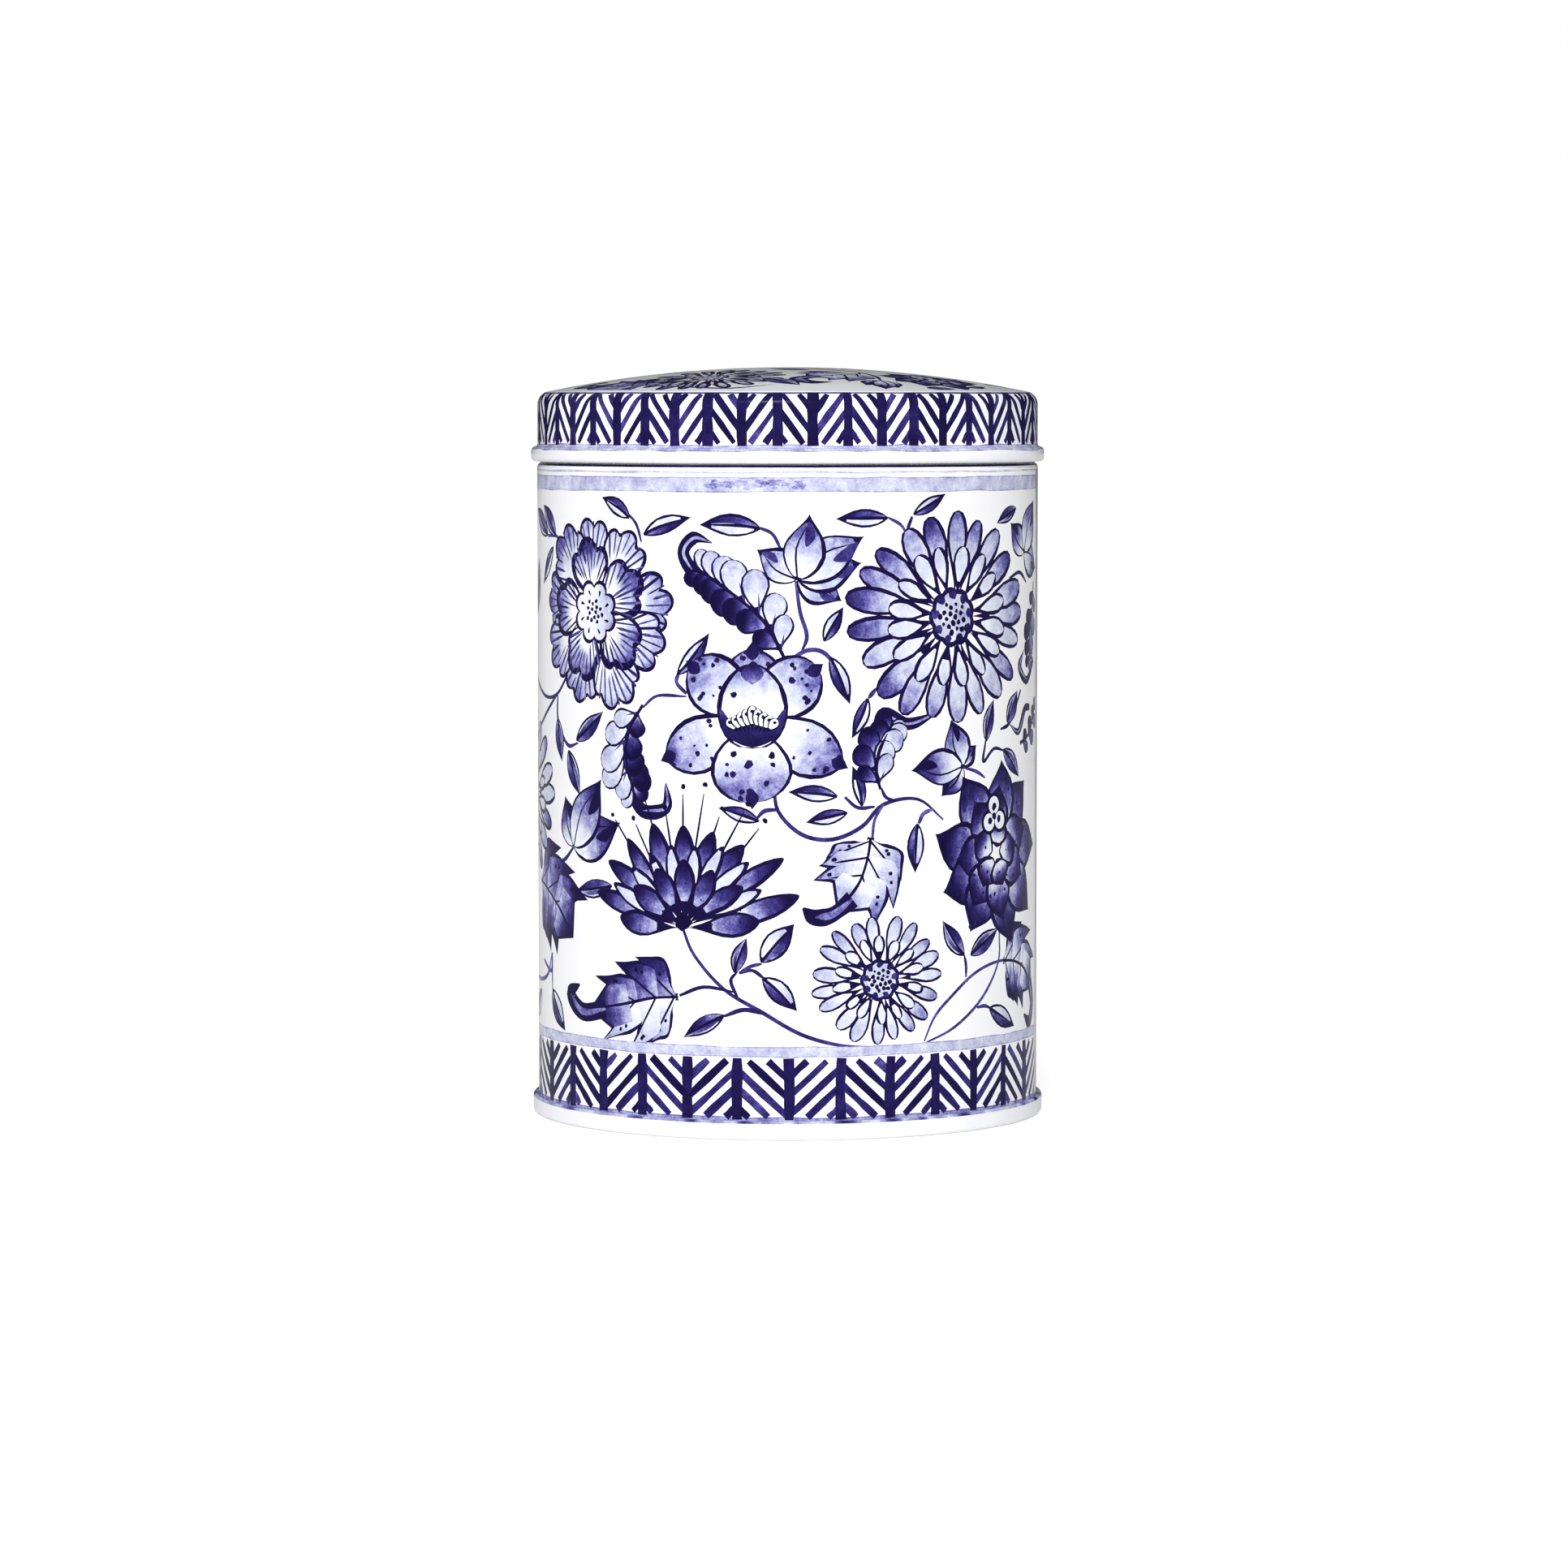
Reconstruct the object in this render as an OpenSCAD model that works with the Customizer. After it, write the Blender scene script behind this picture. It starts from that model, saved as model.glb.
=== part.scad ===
// Round slip-lid spice tin, built from the three pressed tinplate pieces of a real one:
// a rolled body wall with a side seam, a bottom end double-seamed to it, and a lift-off lid.
// Millimetres. The origin is the centre of the foot ring, on the surface the tin stands on.
// +Z is up and -Y is the front. Each piece is one sheet: the line along the middle of its
// thickness is drawn in the r-z plane, thickened to the plate and turned round the axis.

/* [Sheet] */
// Thickness of the tinplate
plate_t = 0.25; // [0.2:0.01:0.3]
// Air between the folded layers of a seam
fold_gap = 0.03; // [0.02:0.01:0.05]

/* [Body wall] */
// Outer diameter of the body
body_d = 76; // [50:0.5:110]
// Height of the shoulder, where the wall steps in to the neck
shoulder_z = 98.6; // [50:0.2:200]
// Bend radius of the step at the shoulder
step_bend_r = 0.6; // [0.5:0.05:1]
// Diameter of the curl rolled inwards round the mouth
mouth_curl_d = 1.6; // [1.4:0.1:2]
// Direction of the side seam, from +X towards +Y
side_seam_angle = -5; // [-90:1:90]
// Width of the folded lock along the side seam
lock_w = 3.2; // [2.5:0.1:4]
// Height of the body at each end where the seam is only lapped
lap_h = 5; // [4:0.5:8]
// Width of the fine groove the lock leaves outside
groove_w = 0.3; // [0.2:0.05:0.5]
// Depth of that groove
groove_depth = 0.08; // [0.04:0.01:0.1]

/* [Bottom end] */
// Height of the double seam round the foot
foot_seam_h = 2.9; // [2.6:0.1:3.5]
// Height of the channel inside the foot, under its top
sink_h = 3.9; // [3.6:0.1:4.6]
// Width of that channel, on the middle of the sheet
sink_w = 1.6; // [1.2:0.1:2.4]
// Straight part of the channel's inner wall, down to the panel's bend
sink_wall_h = 0.1; // [0.05:0.05:0.5]
// Radius of the raised middle of the panel
middle_r = 25; // [14:0.5:30]
// Rise of the raised middle
middle_rise = 0.5; // [0.3:0.1:0.7]

/* [Lid] */
// How far the skirt lies inside the body's outside
skirt_inset = 0.05; // [0:0.05:0.3]
// Height of the lid from its curl to the top of the dome
lid_h = 14.2; // [12:0.2:24]
// Rise of the dome from the skirt's radius to its top
dome_rise = 4; // [2:0.5:6]
// Outside radius where the dome turns down into the skirt
lid_shoulder_r = 2; // [1.5:0.1:3]
// Width of the hollow curl round the skirt's lower edge
lid_curl_w = 1.23; // [1.1:0.01:1.5]
// Height of that curl, with the flare that leads into it
lid_curl_h = 2.7; // [2.5:0.1:3.5]
// Bend radius of the flare
flare_bend_r = 0.6; // [0.55:0.05:0.8]

/* [Fit] */
// Air between the neck and the skirt, all round
slip_gap = 0.2; // [0.1:0.05:0.4]
// Air between the lid's curl and the shoulder, with the lid on
curl_gap = 0.2; // [0.1:0.05:0.4]
// Air between the mouth's curl and the inside of the lid, with the lid on
seat_gap = 0.15; // [0.1:0.05:0.3]

/* [Hidden] */
$fn = 96;
half_t = plate_t / 2;
layer = plate_t + fold_gap;
body_r = body_d / 2;

// Middle-of-sheet radii of the layers in the double seam, from the inside out.
wall_mid_r = body_r - half_t;
chuck_r = wall_mid_r - layer;
cover_hook_r = wall_mid_r + layer;
body_hook_r = wall_mid_r + 2 * layer;
// Centres of the bends at the foot and at the top of the double seam.
// The foot's bend has an odd number of facets, so that the lowest is a flat ring at z = 0.
foot_steps = 9;
foot_bend_z = 2 * layer * cos(90 / foot_steps) + half_t;
seam_bend_z = foot_seam_h - layer - half_t;

// The lid slips over the neck, so the neck follows the skirt.
skirt_r = body_r - skirt_inset;
skirt_mid_r = skirt_r - half_t;
neck_mid_r = skirt_r - plate_t - slip_gap - half_t;
step_in = wall_mid_r - neck_mid_r;
step_angle = acos(1 - step_in / (2 * step_bend_r));
step_half_h = step_bend_r * sin(step_angle);

// Heights of the lid, which stands over the shoulder by its gap.
lid_foot_z = shoulder_z + step_half_h / 2 + curl_gap;
lid_top_z = lid_foot_z + lid_h;
dome_r = (skirt_r * skirt_r + dome_rise * dome_rise) / (2 * dome_rise);
dome_centre_z = lid_top_z - dome_r;
turn_r = skirt_r - lid_shoulder_r;
turn_angle = asin(turn_r / (dome_r - lid_shoulder_r));
turn_z = dome_centre_z + (dome_r - lid_shoulder_r) * cos(turn_angle);
lid_curl_bend_r = (lid_curl_w - plate_t) / 2;
lid_curl_mid_r = skirt_mid_r + lid_curl_bend_r;
lid_curl_low_z = lid_foot_z + half_t + lid_curl_bend_r;
flare_out = 2 * lid_curl_bend_r;
flare_angle = acos(1 - flare_out / (2 * flare_bend_r));
flare_top_z = lid_foot_z + lid_curl_h;
flare_low_z = flare_top_z - 2 * flare_bend_r * sin(flare_angle);
// The rolled edge ends inside the curl, a little above its lower bend.
curl_tip_rise = 0.4;
curl_tip_z = lid_curl_low_z + curl_tip_rise;

// The mouth's curl comes up inside the lid's turned shoulder.
mouth_bend_r = mouth_curl_d / 2 - half_t;
mouth_bend_z = turn_z - seat_gap;

// The bottom end's channel and panel.
sink_bend_r = sink_w / 2;
sink_bend_z = sink_h - half_t - sink_bend_r;
panel_bend_r = 0.3;
panel_z = sink_bend_z - sink_wall_h - panel_bend_r;
panel_edge_r = chuck_r - sink_w;
middle_slope_r = 1.5;

lock_t = 3 * plate_t;
lock_h = shoulder_z - 2 * lap_h;

// Points along an arc in the r-z plane.
function arc(centre, radius, from, to, steps) =
    [for (i = [0:steps])
        let (a = from + (to - from) * i / steps)
        centre + radius * [cos(a), sin(a)]];

function unit(v) = v / norm(v);

// Direction square to the sheet at one point of its path, long enough to keep the thickness.
function across(path, i) =
    let (
        last = len(path) - 1,
        before = unit(path[max(i, 1)] - path[max(i, 1) - 1]),
        after = unit(path[min(i, last - 1) + 1] - path[min(i, last - 1)]),
        along = unit(before + after),
        square = [-along[1], along[0]]
    )
    square / (square * [-after[1], after[0]]);

// One face of the sheet: the path moved sideways, never past the axis.
function face(path, distance) =
    [for (i = [0:len(path) - 1])
        let (p = path[i] + distance * across(path, i))
        [max(p[0], 0), p[1]]];

function backwards(list) = [for (i = [len(list) - 1:-1:0]) list[i]];

// The path without the points that repeat where two arcs meet.
function joined(path) =
    [for (i = [0:len(path) - 1])
        if (i == 0 || norm(path[i] - path[max(i - 1, 0)]) > fold_gap / 10) path[i]];

// A sheet of plate thickness turned round the axis.
module spun_sheet(points) {
    path = joined(points);
    rotate_extrude()
        polygon(concat(face(path, half_t), backwards(face(path, -half_t))));
}

// Body: hook in the double seam, wall, step at the shoulder, neck, and curl round the mouth.
body_path = concat(
    [[body_hook_r, seam_bend_z]],
    arc([cover_hook_r, foot_bend_z], layer, 0, -180, 10),
    arc([wall_mid_r - step_bend_r, shoulder_z - step_half_h], step_bend_r, 0, step_angle, 5),
    backwards(arc([neck_mid_r + step_bend_r, shoulder_z + step_half_h], step_bend_r,
        180, 180 + step_angle, 5)),
    arc([neck_mid_r - mouth_bend_r, mouth_bend_z], mouth_bend_r, 0, 300, 20)
);

// Bottom end: panel, channel, chuck wall, foot, seaming wall, and hook over the body's hook.
bottom_path = concat(
    [[0, panel_z + middle_rise]],
    [[middle_r, panel_z + middle_rise]],
    [[middle_r + middle_slope_r, panel_z]],
    arc([panel_edge_r - panel_bend_r, panel_z + panel_bend_r], panel_bend_r, -90, 0, 4),
    arc([panel_edge_r + sink_bend_r, sink_bend_z], sink_bend_r, 180, 0, 12),
    arc([cover_hook_r, foot_bend_z], 2 * layer, 180, 360, foot_steps),
    arc([body_hook_r, seam_bend_z], layer, 0, 180, 10),
    [[cover_hook_r, foot_bend_z]]
);

// Lid: dome, turned shoulder, skirt, and edge flared out and rolled under into a curl.
lid_path = concat(
    arc([0, dome_centre_z], dome_r - half_t, 90, 90 - turn_angle, 14),
    arc([turn_r, turn_z], lid_shoulder_r - half_t, 90 - turn_angle, 0, 10),
    arc([skirt_mid_r + flare_bend_r, flare_top_z], flare_bend_r, 180, 180 + flare_angle, 7),
    arc([skirt_mid_r + flare_out - flare_bend_r, flare_low_z], flare_bend_r, flare_angle, 0, 7),
    arc([lid_curl_mid_r, lid_curl_low_z], lid_curl_bend_r, 0, -180, 10),
    [[skirt_mid_r, curl_tip_z]]
);

// The lock folded along the side seam: a flat rib inside, between the lapped ends.
module side_lock() {
    rotate([0, 0, side_seam_angle])
        translate([0, 0, lap_h])
            intersection() {
                difference() {
                    cylinder(r = wall_mid_r, h = lock_h);
                    translate([0, 0, -1])
                        cylinder(r = body_r - plate_t - lock_t, h = lock_h + 2);
                }
                translate([0, -lock_w / 2, -1])
                    cube([body_d, lock_w, lock_h + 2]);
            }
}

// The fine groove outside, at the edge of the lock.
module side_groove() {
    rotate([0, 0, side_seam_angle])
        translate([body_r - groove_depth, -groove_w / 2, lap_h])
            cube([body_r, groove_w, lock_h]);
}

module body_wall() {
    color("whitesmoke")
        difference() {
            union() {
                spun_sheet(body_path);
                side_lock();
            }
            side_groove();
        }
}

module bottom_end() {
    color("silver")
        spun_sheet(bottom_path);
}

module lid() {
    color("lavender")
        spun_sheet(lid_path);
}

body_wall();
bottom_end();
lid();
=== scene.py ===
# %% [markdown]
# # A printed spice tin
# This lesson builds the looks of a round slip-lid tin. Three thin sheets of tinplate make it: a rolled
# body wall, a bottom end folded over the wall's lower edge, and a lid. The outside is white enamel with
# dark blue flowers printed on it before the sheets were formed. The frame that is loaded first holds
# the true sizes, and every piece here takes its place from it.

# %% Load the frame
import math

import bpy
import numpy as np
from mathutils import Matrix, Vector
from mathutils.geometry import delaunay_2d_cdt


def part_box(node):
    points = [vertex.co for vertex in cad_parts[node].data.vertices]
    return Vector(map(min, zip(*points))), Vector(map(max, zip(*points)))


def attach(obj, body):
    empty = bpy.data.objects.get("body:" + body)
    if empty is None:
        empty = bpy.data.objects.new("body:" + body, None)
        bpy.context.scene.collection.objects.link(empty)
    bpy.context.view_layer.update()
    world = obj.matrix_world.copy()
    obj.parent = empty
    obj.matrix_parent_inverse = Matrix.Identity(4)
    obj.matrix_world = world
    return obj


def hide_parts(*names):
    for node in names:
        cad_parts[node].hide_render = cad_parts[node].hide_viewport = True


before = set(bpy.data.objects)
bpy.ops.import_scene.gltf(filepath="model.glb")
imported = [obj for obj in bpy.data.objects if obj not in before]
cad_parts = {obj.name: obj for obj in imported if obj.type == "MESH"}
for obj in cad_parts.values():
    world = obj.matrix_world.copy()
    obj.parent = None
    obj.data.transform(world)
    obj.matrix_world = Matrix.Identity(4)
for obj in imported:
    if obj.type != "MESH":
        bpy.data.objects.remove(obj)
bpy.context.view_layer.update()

# %% [markdown]
# ## Driving sizes
# A tinsmith thinks in sheet thickness and bend radii, so the drawing below is in millimetres and is
# turned into metres only when a mesh is made. The wall's radius is three folded layers inside the
# outside of the foot, because that is how a double seam is stacked.

# %% Sizes in millimetres
MM = 0.001
PLATE = 0.25
FOLD_GAP = 0.03
HALF = PLATE / 2
LAYER = PLATE + FOLD_GAP

end_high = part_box("bottom_end")[1]
body_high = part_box("body_wall")[1]
lid_low, lid_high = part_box("lid")
WALL_R = end_high[0] / MM - 3 * LAYER
SINK_H = end_high[2] / MM
MOUTH_Z = body_high[2] / MM
LID_FOOT_Z = lid_low[2] / MM
LID_TOP_Z = lid_high[2] / MM
ROUND = 2 * math.pi * WALL_R
SEGMENTS = 152
print("wall radius", round(WALL_R, 3), "mm, lid from", round(LID_FOOT_Z, 2), "to", round(LID_TOP_Z, 2))

# %% [markdown]
# ## The profile of a bent sheet
# Each piece is one sheet of constant thickness turned round the axis. The easiest way to draw it is
# the line along the middle of its thickness, made of arcs and straight runs, which is then moved half
# a thickness to each side. That keeps the thickness true through every fold, as a press brake does.

# %% Sheet profile helpers
def arc(centre, radius, start, end, steps):
    """Points along an arc in the r-z plane, angles in degrees."""
    angles = np.radians(np.linspace(start, end, steps + 1))
    return [(centre[0] + radius * math.cos(a), centre[1] + radius * math.sin(a)) for a in angles]


def sheet_side(path, distance):
    """The path moved sideways to its left by a distance, with mitred corners."""
    points = np.array(path, float)
    steps = np.diff(points, axis=0)
    steps /= np.linalg.norm(steps, axis=1)[:, None]
    before = np.vstack([steps[:1], steps])
    after = np.vstack([steps, steps[-1:]])
    along = before + after
    along /= np.linalg.norm(along, axis=1)[:, None]
    square = np.stack([-along[:, 1], along[:, 0]], 1)
    reach = square[:, 0] * -after[:, 1] + square[:, 1] * after[:, 0]
    moved = points + distance * square / reach[:, None]
    moved[:, 0] = np.maximum(moved[:, 0], 0)
    return moved


def without_repeats(path):
    """The path with the doubled points where two arcs meet taken out."""
    kept = [path[0]]
    for point in path[1:]:
        if math.dist(point, kept[-1]) > 1e-3:
            kept.append(point)
    return kept


# %% [markdown]
# ## The three profiles
# The wall's lower edge is a hook, and the bottom end's edge is folded over it: that lock of five
# layers is the ring the tin stands on. At the top the wall steps in to a neck that the lid slips
# over, and ends in a curl that makes the mouth stiff and safe to touch. The lid is a shallow dome
# with a tight shoulder, and its edge flares out and rolls under.

# %% Body, bottom end and lid profiles
wall_mid = WALL_R - HALF
chuck_r = wall_mid - LAYER
cover_hook_r = wall_mid + LAYER
body_hook_r = wall_mid + 2 * LAYER
FOOT_SEAM_H = 2.9
foot_bend_z = 2 * LAYER + HALF
seam_bend_z = FOOT_SEAM_H - LAYER - HALF

SKIRT_INSET = 0.05
SKIRT_R = WALL_R - SKIRT_INSET
SLIP_GAP = 0.2
STEP_BEND_R = 0.6
SHOULDER_Z = 98.6
skirt_mid = SKIRT_R - HALF
neck_mid = SKIRT_R - PLATE - SLIP_GAP - HALF
step_angle = math.degrees(math.acos(1 - (wall_mid - neck_mid) / (2 * STEP_BEND_R)))
step_half_h = STEP_BEND_R * math.sin(math.radians(step_angle))
MOUTH_CURL_D = 1.6
MOUTH_BEND_R = MOUTH_CURL_D / 2 - HALF
mouth_bend_z = MOUTH_Z - MOUTH_BEND_R - HALF

body_path = without_repeats(
    [(body_hook_r, seam_bend_z)]
    + arc((cover_hook_r, foot_bend_z), LAYER, 0, -180, 12)
    + arc((wall_mid - STEP_BEND_R, SHOULDER_Z - step_half_h), STEP_BEND_R, 0, step_angle, 8)
    + arc((neck_mid + STEP_BEND_R, SHOULDER_Z + step_half_h), STEP_BEND_R, 180 + step_angle, 180, 8)
    + arc((neck_mid - MOUTH_BEND_R, mouth_bend_z), MOUTH_BEND_R, 0, 300, 26)
)

SINK_BEND_R = 0.8
SINK_WALL_H = 0.1
PANEL_BEND_R = 0.3
MIDDLE_R = 25
MIDDLE_RISE = 0.5
MIDDLE_BEND_R = 1
sink_bend_z = SINK_H - HALF - SINK_BEND_R
panel_z = sink_bend_z - SINK_WALL_H - PANEL_BEND_R
panel_edge_r = chuck_r - 2 * SINK_BEND_R
bottom_path = without_repeats(
    [(0, panel_z + MIDDLE_RISE), (MIDDLE_R - 0.4, panel_z + MIDDLE_RISE)]
    + arc((MIDDLE_R, panel_z + MIDDLE_RISE - MIDDLE_BEND_R), MIDDLE_BEND_R, 90, 70, 3)
    + arc((MIDDLE_R + 1.5, panel_z + MIDDLE_BEND_R), MIDDLE_BEND_R, 250, 270, 3)
    + arc((panel_edge_r - PANEL_BEND_R, panel_z + PANEL_BEND_R), PANEL_BEND_R, -90, 0, 6)
    + arc((panel_edge_r + SINK_BEND_R, sink_bend_z), SINK_BEND_R, 180, 0, 16)
    + arc((cover_hook_r, foot_bend_z), 2 * LAYER, 180, 360, 18)
    + arc((body_hook_r, seam_bend_z), LAYER, 0, 180, 12)
    + [(cover_hook_r, foot_bend_z)]
)

DOME_RISE = 4.0
TURN_OUT_R = 2.0
CURL_W = 1.23
FLARE_BEND_R = 0.6
CURL_H = 2.7
CURL_SIDE_H = 0.55
CURL_TIP_RISE = 0.4
DOME_STEPS = 24
TURN_STEPS = 10
FLARE_STEPS = 8
dome_r = (SKIRT_R ** 2 + DOME_RISE ** 2) / (2 * DOME_RISE)
dome_centre_z = LID_TOP_Z - dome_r
turn_r = SKIRT_R - TURN_OUT_R
turn_angle = math.degrees(math.asin(turn_r / (dome_r - TURN_OUT_R)))
turn_z = dome_centre_z + (dome_r - TURN_OUT_R) * math.cos(math.radians(turn_angle))
curl_bend_r = (CURL_W - PLATE) / 2
curl_mid = skirt_mid + curl_bend_r
curl_low_z = LID_FOOT_Z + HALF + curl_bend_r
flare_out = 2 * curl_bend_r
flare_angle = math.degrees(math.acos(1 - flare_out / (2 * FLARE_BEND_R)))
flare_top_z = LID_FOOT_Z + CURL_H
flare_low_z = flare_top_z - 2 * FLARE_BEND_R * math.sin(math.radians(flare_angle))
lid_path = without_repeats(
    arc((0, dome_centre_z), dome_r - HALF, 90, 90 - turn_angle, DOME_STEPS)
    + arc((turn_r, turn_z), TURN_OUT_R - HALF, 90 - turn_angle, 0, TURN_STEPS)
    + arc((skirt_mid + FLARE_BEND_R, flare_top_z), FLARE_BEND_R, 180, 180 + flare_angle, FLARE_STEPS)
    + arc((skirt_mid + flare_out - FLARE_BEND_R, flare_low_z), FLARE_BEND_R, flare_angle, 0,
          FLARE_STEPS)
    + [(skirt_mid + flare_out, curl_low_z + CURL_SIDE_H)]
    + arc((curl_mid, curl_low_z), curl_bend_r, 0, -180, 12)
    + [(skirt_mid, curl_low_z + CURL_TIP_RISE)]
)
print("points in the profiles:", len(body_path), len(bottom_path), len(lid_path))

# %% [markdown]
# ## Drawing with a brush
# The decoration was painted by hand with a brush and blue ink, then printed. Here it is drawn the same
# way: every stroke and every petal is a closed outline on a flat sheet, and later ones cover earlier
# ones. Points on the sheet are complex numbers, because turning and scaling are then one product.
# Each outline carries how much ink it holds, from 0, bare enamel, to 1, the darkest line, and the ink
# may fade from one end of a petal to the other.

# %% Sheets of outlines
class Drawing:
    """A flat sheet that collects inked outlines, in the order they are painted."""

    def __init__(self, seed, weight=1.0):
        self.shapes = []
        self.weight = weight
        self.chance = np.random.default_rng(seed)

    def fill(self, outline, ink, fade=None, start=0, end=1):
        """Adds an outline. ink is one amount, or two that fade along the line from start to end."""
        first, last = ink if isinstance(ink, tuple) else (ink, ink)
        base, tip = fade if fade is not None else (outline[0], outline[0] + 1)
        self.shapes.append((np.array(outline), first, last, base, tip, start, end))

    def vary(self, value, share):
        """The value, more or less a share of it."""
        return value * (1 + share * self.chance.uniform(-1, 1))


def curve(points, closed=False, steps=5):
    """A smooth curve through the points."""
    p = np.asarray(points, complex)
    if closed:
        p = np.concatenate([p[-1:], p, p[:2]])
    else:
        p = np.concatenate([[2 * p[0] - p[1]], p, [2 * p[-1] - p[-2]]])
    t = np.linspace(0, 1, steps, endpoint=False)[:, None]
    a, b, c, d = p[:-3], p[1:-2], p[2:-1], p[3:]
    run = 0.5 * (2 * b + (c - a) * t + (2 * a - 5 * b + 4 * c - d) * t ** 2
                 + (3 * b - a - 3 * c + d) * t ** 3)
    run = run.T.ravel()
    return run if closed else np.append(run, p[-2])


def turn(degrees):
    """One step in a direction, anticlockwise from the right."""
    return complex(math.cos(math.radians(degrees)), math.sin(math.radians(degrees)))


def ring(count):
    """Steps of one, evenly round a circle."""
    return np.exp(2j * math.pi * np.arange(count) / count)


def brush(drawing, points, width, ink=0.98, tails=(0.35, 0.15), steps=3):
    """One brush stroke along a curve, thinner at its two ends by the shares in tails."""
    spine = curve(points, steps=steps)
    ahead = np.gradient(spine)
    ahead /= np.abs(ahead) + 1e-12
    t = np.linspace(0, 1, len(spine))
    swell = tails[0] + (1 - tails[0]) * np.minimum(1, t * 4)
    swell = np.minimum(swell, tails[1] + (1 - tails[1]) * np.minimum(1, (1 - t) * 4))
    wobble = drawing.chance.uniform(0.82, 1.15, 5)
    half = drawing.weight * width / 2 * swell * np.interp(t, np.linspace(0, 1, 5), wobble)
    side = 1j * ahead * half
    drawing.fill(np.concatenate([spine + side, (spine - side)[::-1]]), ink)


def dot(drawing, centre, size, ink=1.0):
    """A dab of the brush: a small uneven spot."""
    drawing.fill(centre + ring(7) * size / 2 * drawing.chance.uniform(0.75, 1.25, 7), ink)


# %% [markdown]
# ## Petals and leaves
# Nearly everything in the pattern is one form: a blade that grows from a base to a tip, bends to one
# side, and is widest somewhere between. A painter lays the dark form first and then a pale wash inside
# it, and the rim left over is the outline. Shifting the wash a little makes one side of the outline
# heavier, which is what makes a line look drawn and not ruled.

# %% The blade
def blade(base, tip, width, bend, widest, blunt, count):
    """Spine, unit normals and half widths. blunt is low for a round end, high for a pointed one."""
    t = (1 - np.cos(math.pi * np.linspace(0, 1, count))) / 2
    middle = (base + tip) / 2 + 1j * (tip - base) * bend
    spine = (1 - t) ** 2 * base + 2 * t * (1 - t) * middle + t ** 2 * tip
    ahead = 2 * (1 - t) * (middle - base) + 2 * t * (tip - middle)
    power = math.log(0.5) / math.log(widest)
    half = width / 2 * np.sin(math.pi * t ** power).clip(0) ** (blunt[0] * (1 - t) + blunt[1] * t)
    return spine, 1j * ahead / np.abs(ahead), half


def blade_outline(spine, normal, left, right):
    """Closed outline with its own half width to the left and to the right."""
    outline = np.concatenate([spine + normal * left, (spine - normal * right)[::-1]])
    keep = np.abs(outline - np.roll(outline, 1)) > 1e-3
    return outline[keep]


def inked_blade(drawing, base, tip, width, rim=(0.3, 0.3), ink=(0.08, 0.4), bend=0.0, widest=0.5,
                blunt=(0.9, 1.1), line=0.98, fade=(0.1, 0.95), count=11):
    """A dark blade with a wash inside it. rim is the outline's weight to the left and to the right."""
    spine, normal, half = blade(base, tip, width, bend, widest, blunt, count)
    drawing.fill(blade_outline(spine, normal, half, half), line)
    left = half - rim[0] * drawing.weight * drawing.chance.uniform(0.8, 1.2, count)
    right = half - rim[1] * drawing.weight * drawing.chance.uniform(0.8, 1.2, count)
    inside = (left > 0) & (right > 0)
    if inside.sum() > 2:
        wash = blade_outline(spine[inside], normal[inside], left[inside], right[inside])
        drawing.fill(wash, ink, (base, tip), *fade)
    return spine, normal, half


def leaf(drawing, base, tip, width, dark=0.35, bend=0.08):
    """A small pointed leaf: half of it shaded, a vein, and a short stalk."""
    length = abs(tip - base)
    heavy = drawing.chance.uniform(0.3, 0.5)
    spine, normal, half = inked_blade(
        drawing, base, tip, width, rim=(0.36, 0.36 + 0.3 * heavy), ink=(0.02, 0.1 + dark * 0.4),
        bend=bend, widest=0.45, blunt=(0.75, 1.15), line=0.97)
    swell = np.sin(math.pi * np.linspace(0, 1, len(spine))) ** 0.45
    sides = ((-0.9, 0.0), (0.62, 0.18)) if dark > 0.6 else ((-0.74, -0.14),)
    for outer, inner in sides:
        crescent = np.concatenate([spine + normal * half * outer * swell,
                                   (spine + normal * half * inner * swell)[::-1]])
        drawing.fill(crescent, (0.45, 0.97) if outer < 0 else (0.9, 0.35), (base, tip), 0.1, 0.8)
    brush(drawing, [base, spine[4], spine[8]], 0.3 + 0.02 * length, tails=(1.0, 0.2))


# %% [markdown]
# ## Flowers
# A daisy is two rings of blades round a dotted heart. The peony has frilled petals, which are fans
# whose edge is scalloped, with short hatching strokes pulled in from the frill. The broad flower and
# the dark double flower use wide blades that end in a small point, spotted towards the tip.

# %% Daisies
def heart(drawing, centre, radius, dots):
    """The dotted middle of a daisy: a scalloped dark ring, a pale disc and dabs."""
    scallop = 1 + 0.1 * np.abs(np.sin(np.arange(54) * math.pi / 6))
    drawing.fill(centre + ring(54) * radius * scallop, 0.95)
    drawing.fill(centre + ring(54) * radius * 0.82 * scallop, (0.16, 0.3), (centre, centre + radius))
    for i in range(9):
        a = turn(40 * i + 12)
        dot(drawing, centre + a * radius * 0.8, radius * 0.34, drawing.chance.uniform(0.75, 0.95))
    for i in range(dots):
        reach = radius * 0.62 * math.sqrt((i + 0.5) / dots)
        dot(drawing, centre + reach * turn(137.5 * i), drawing.vary(radius * 0.2, 0.25))


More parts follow.
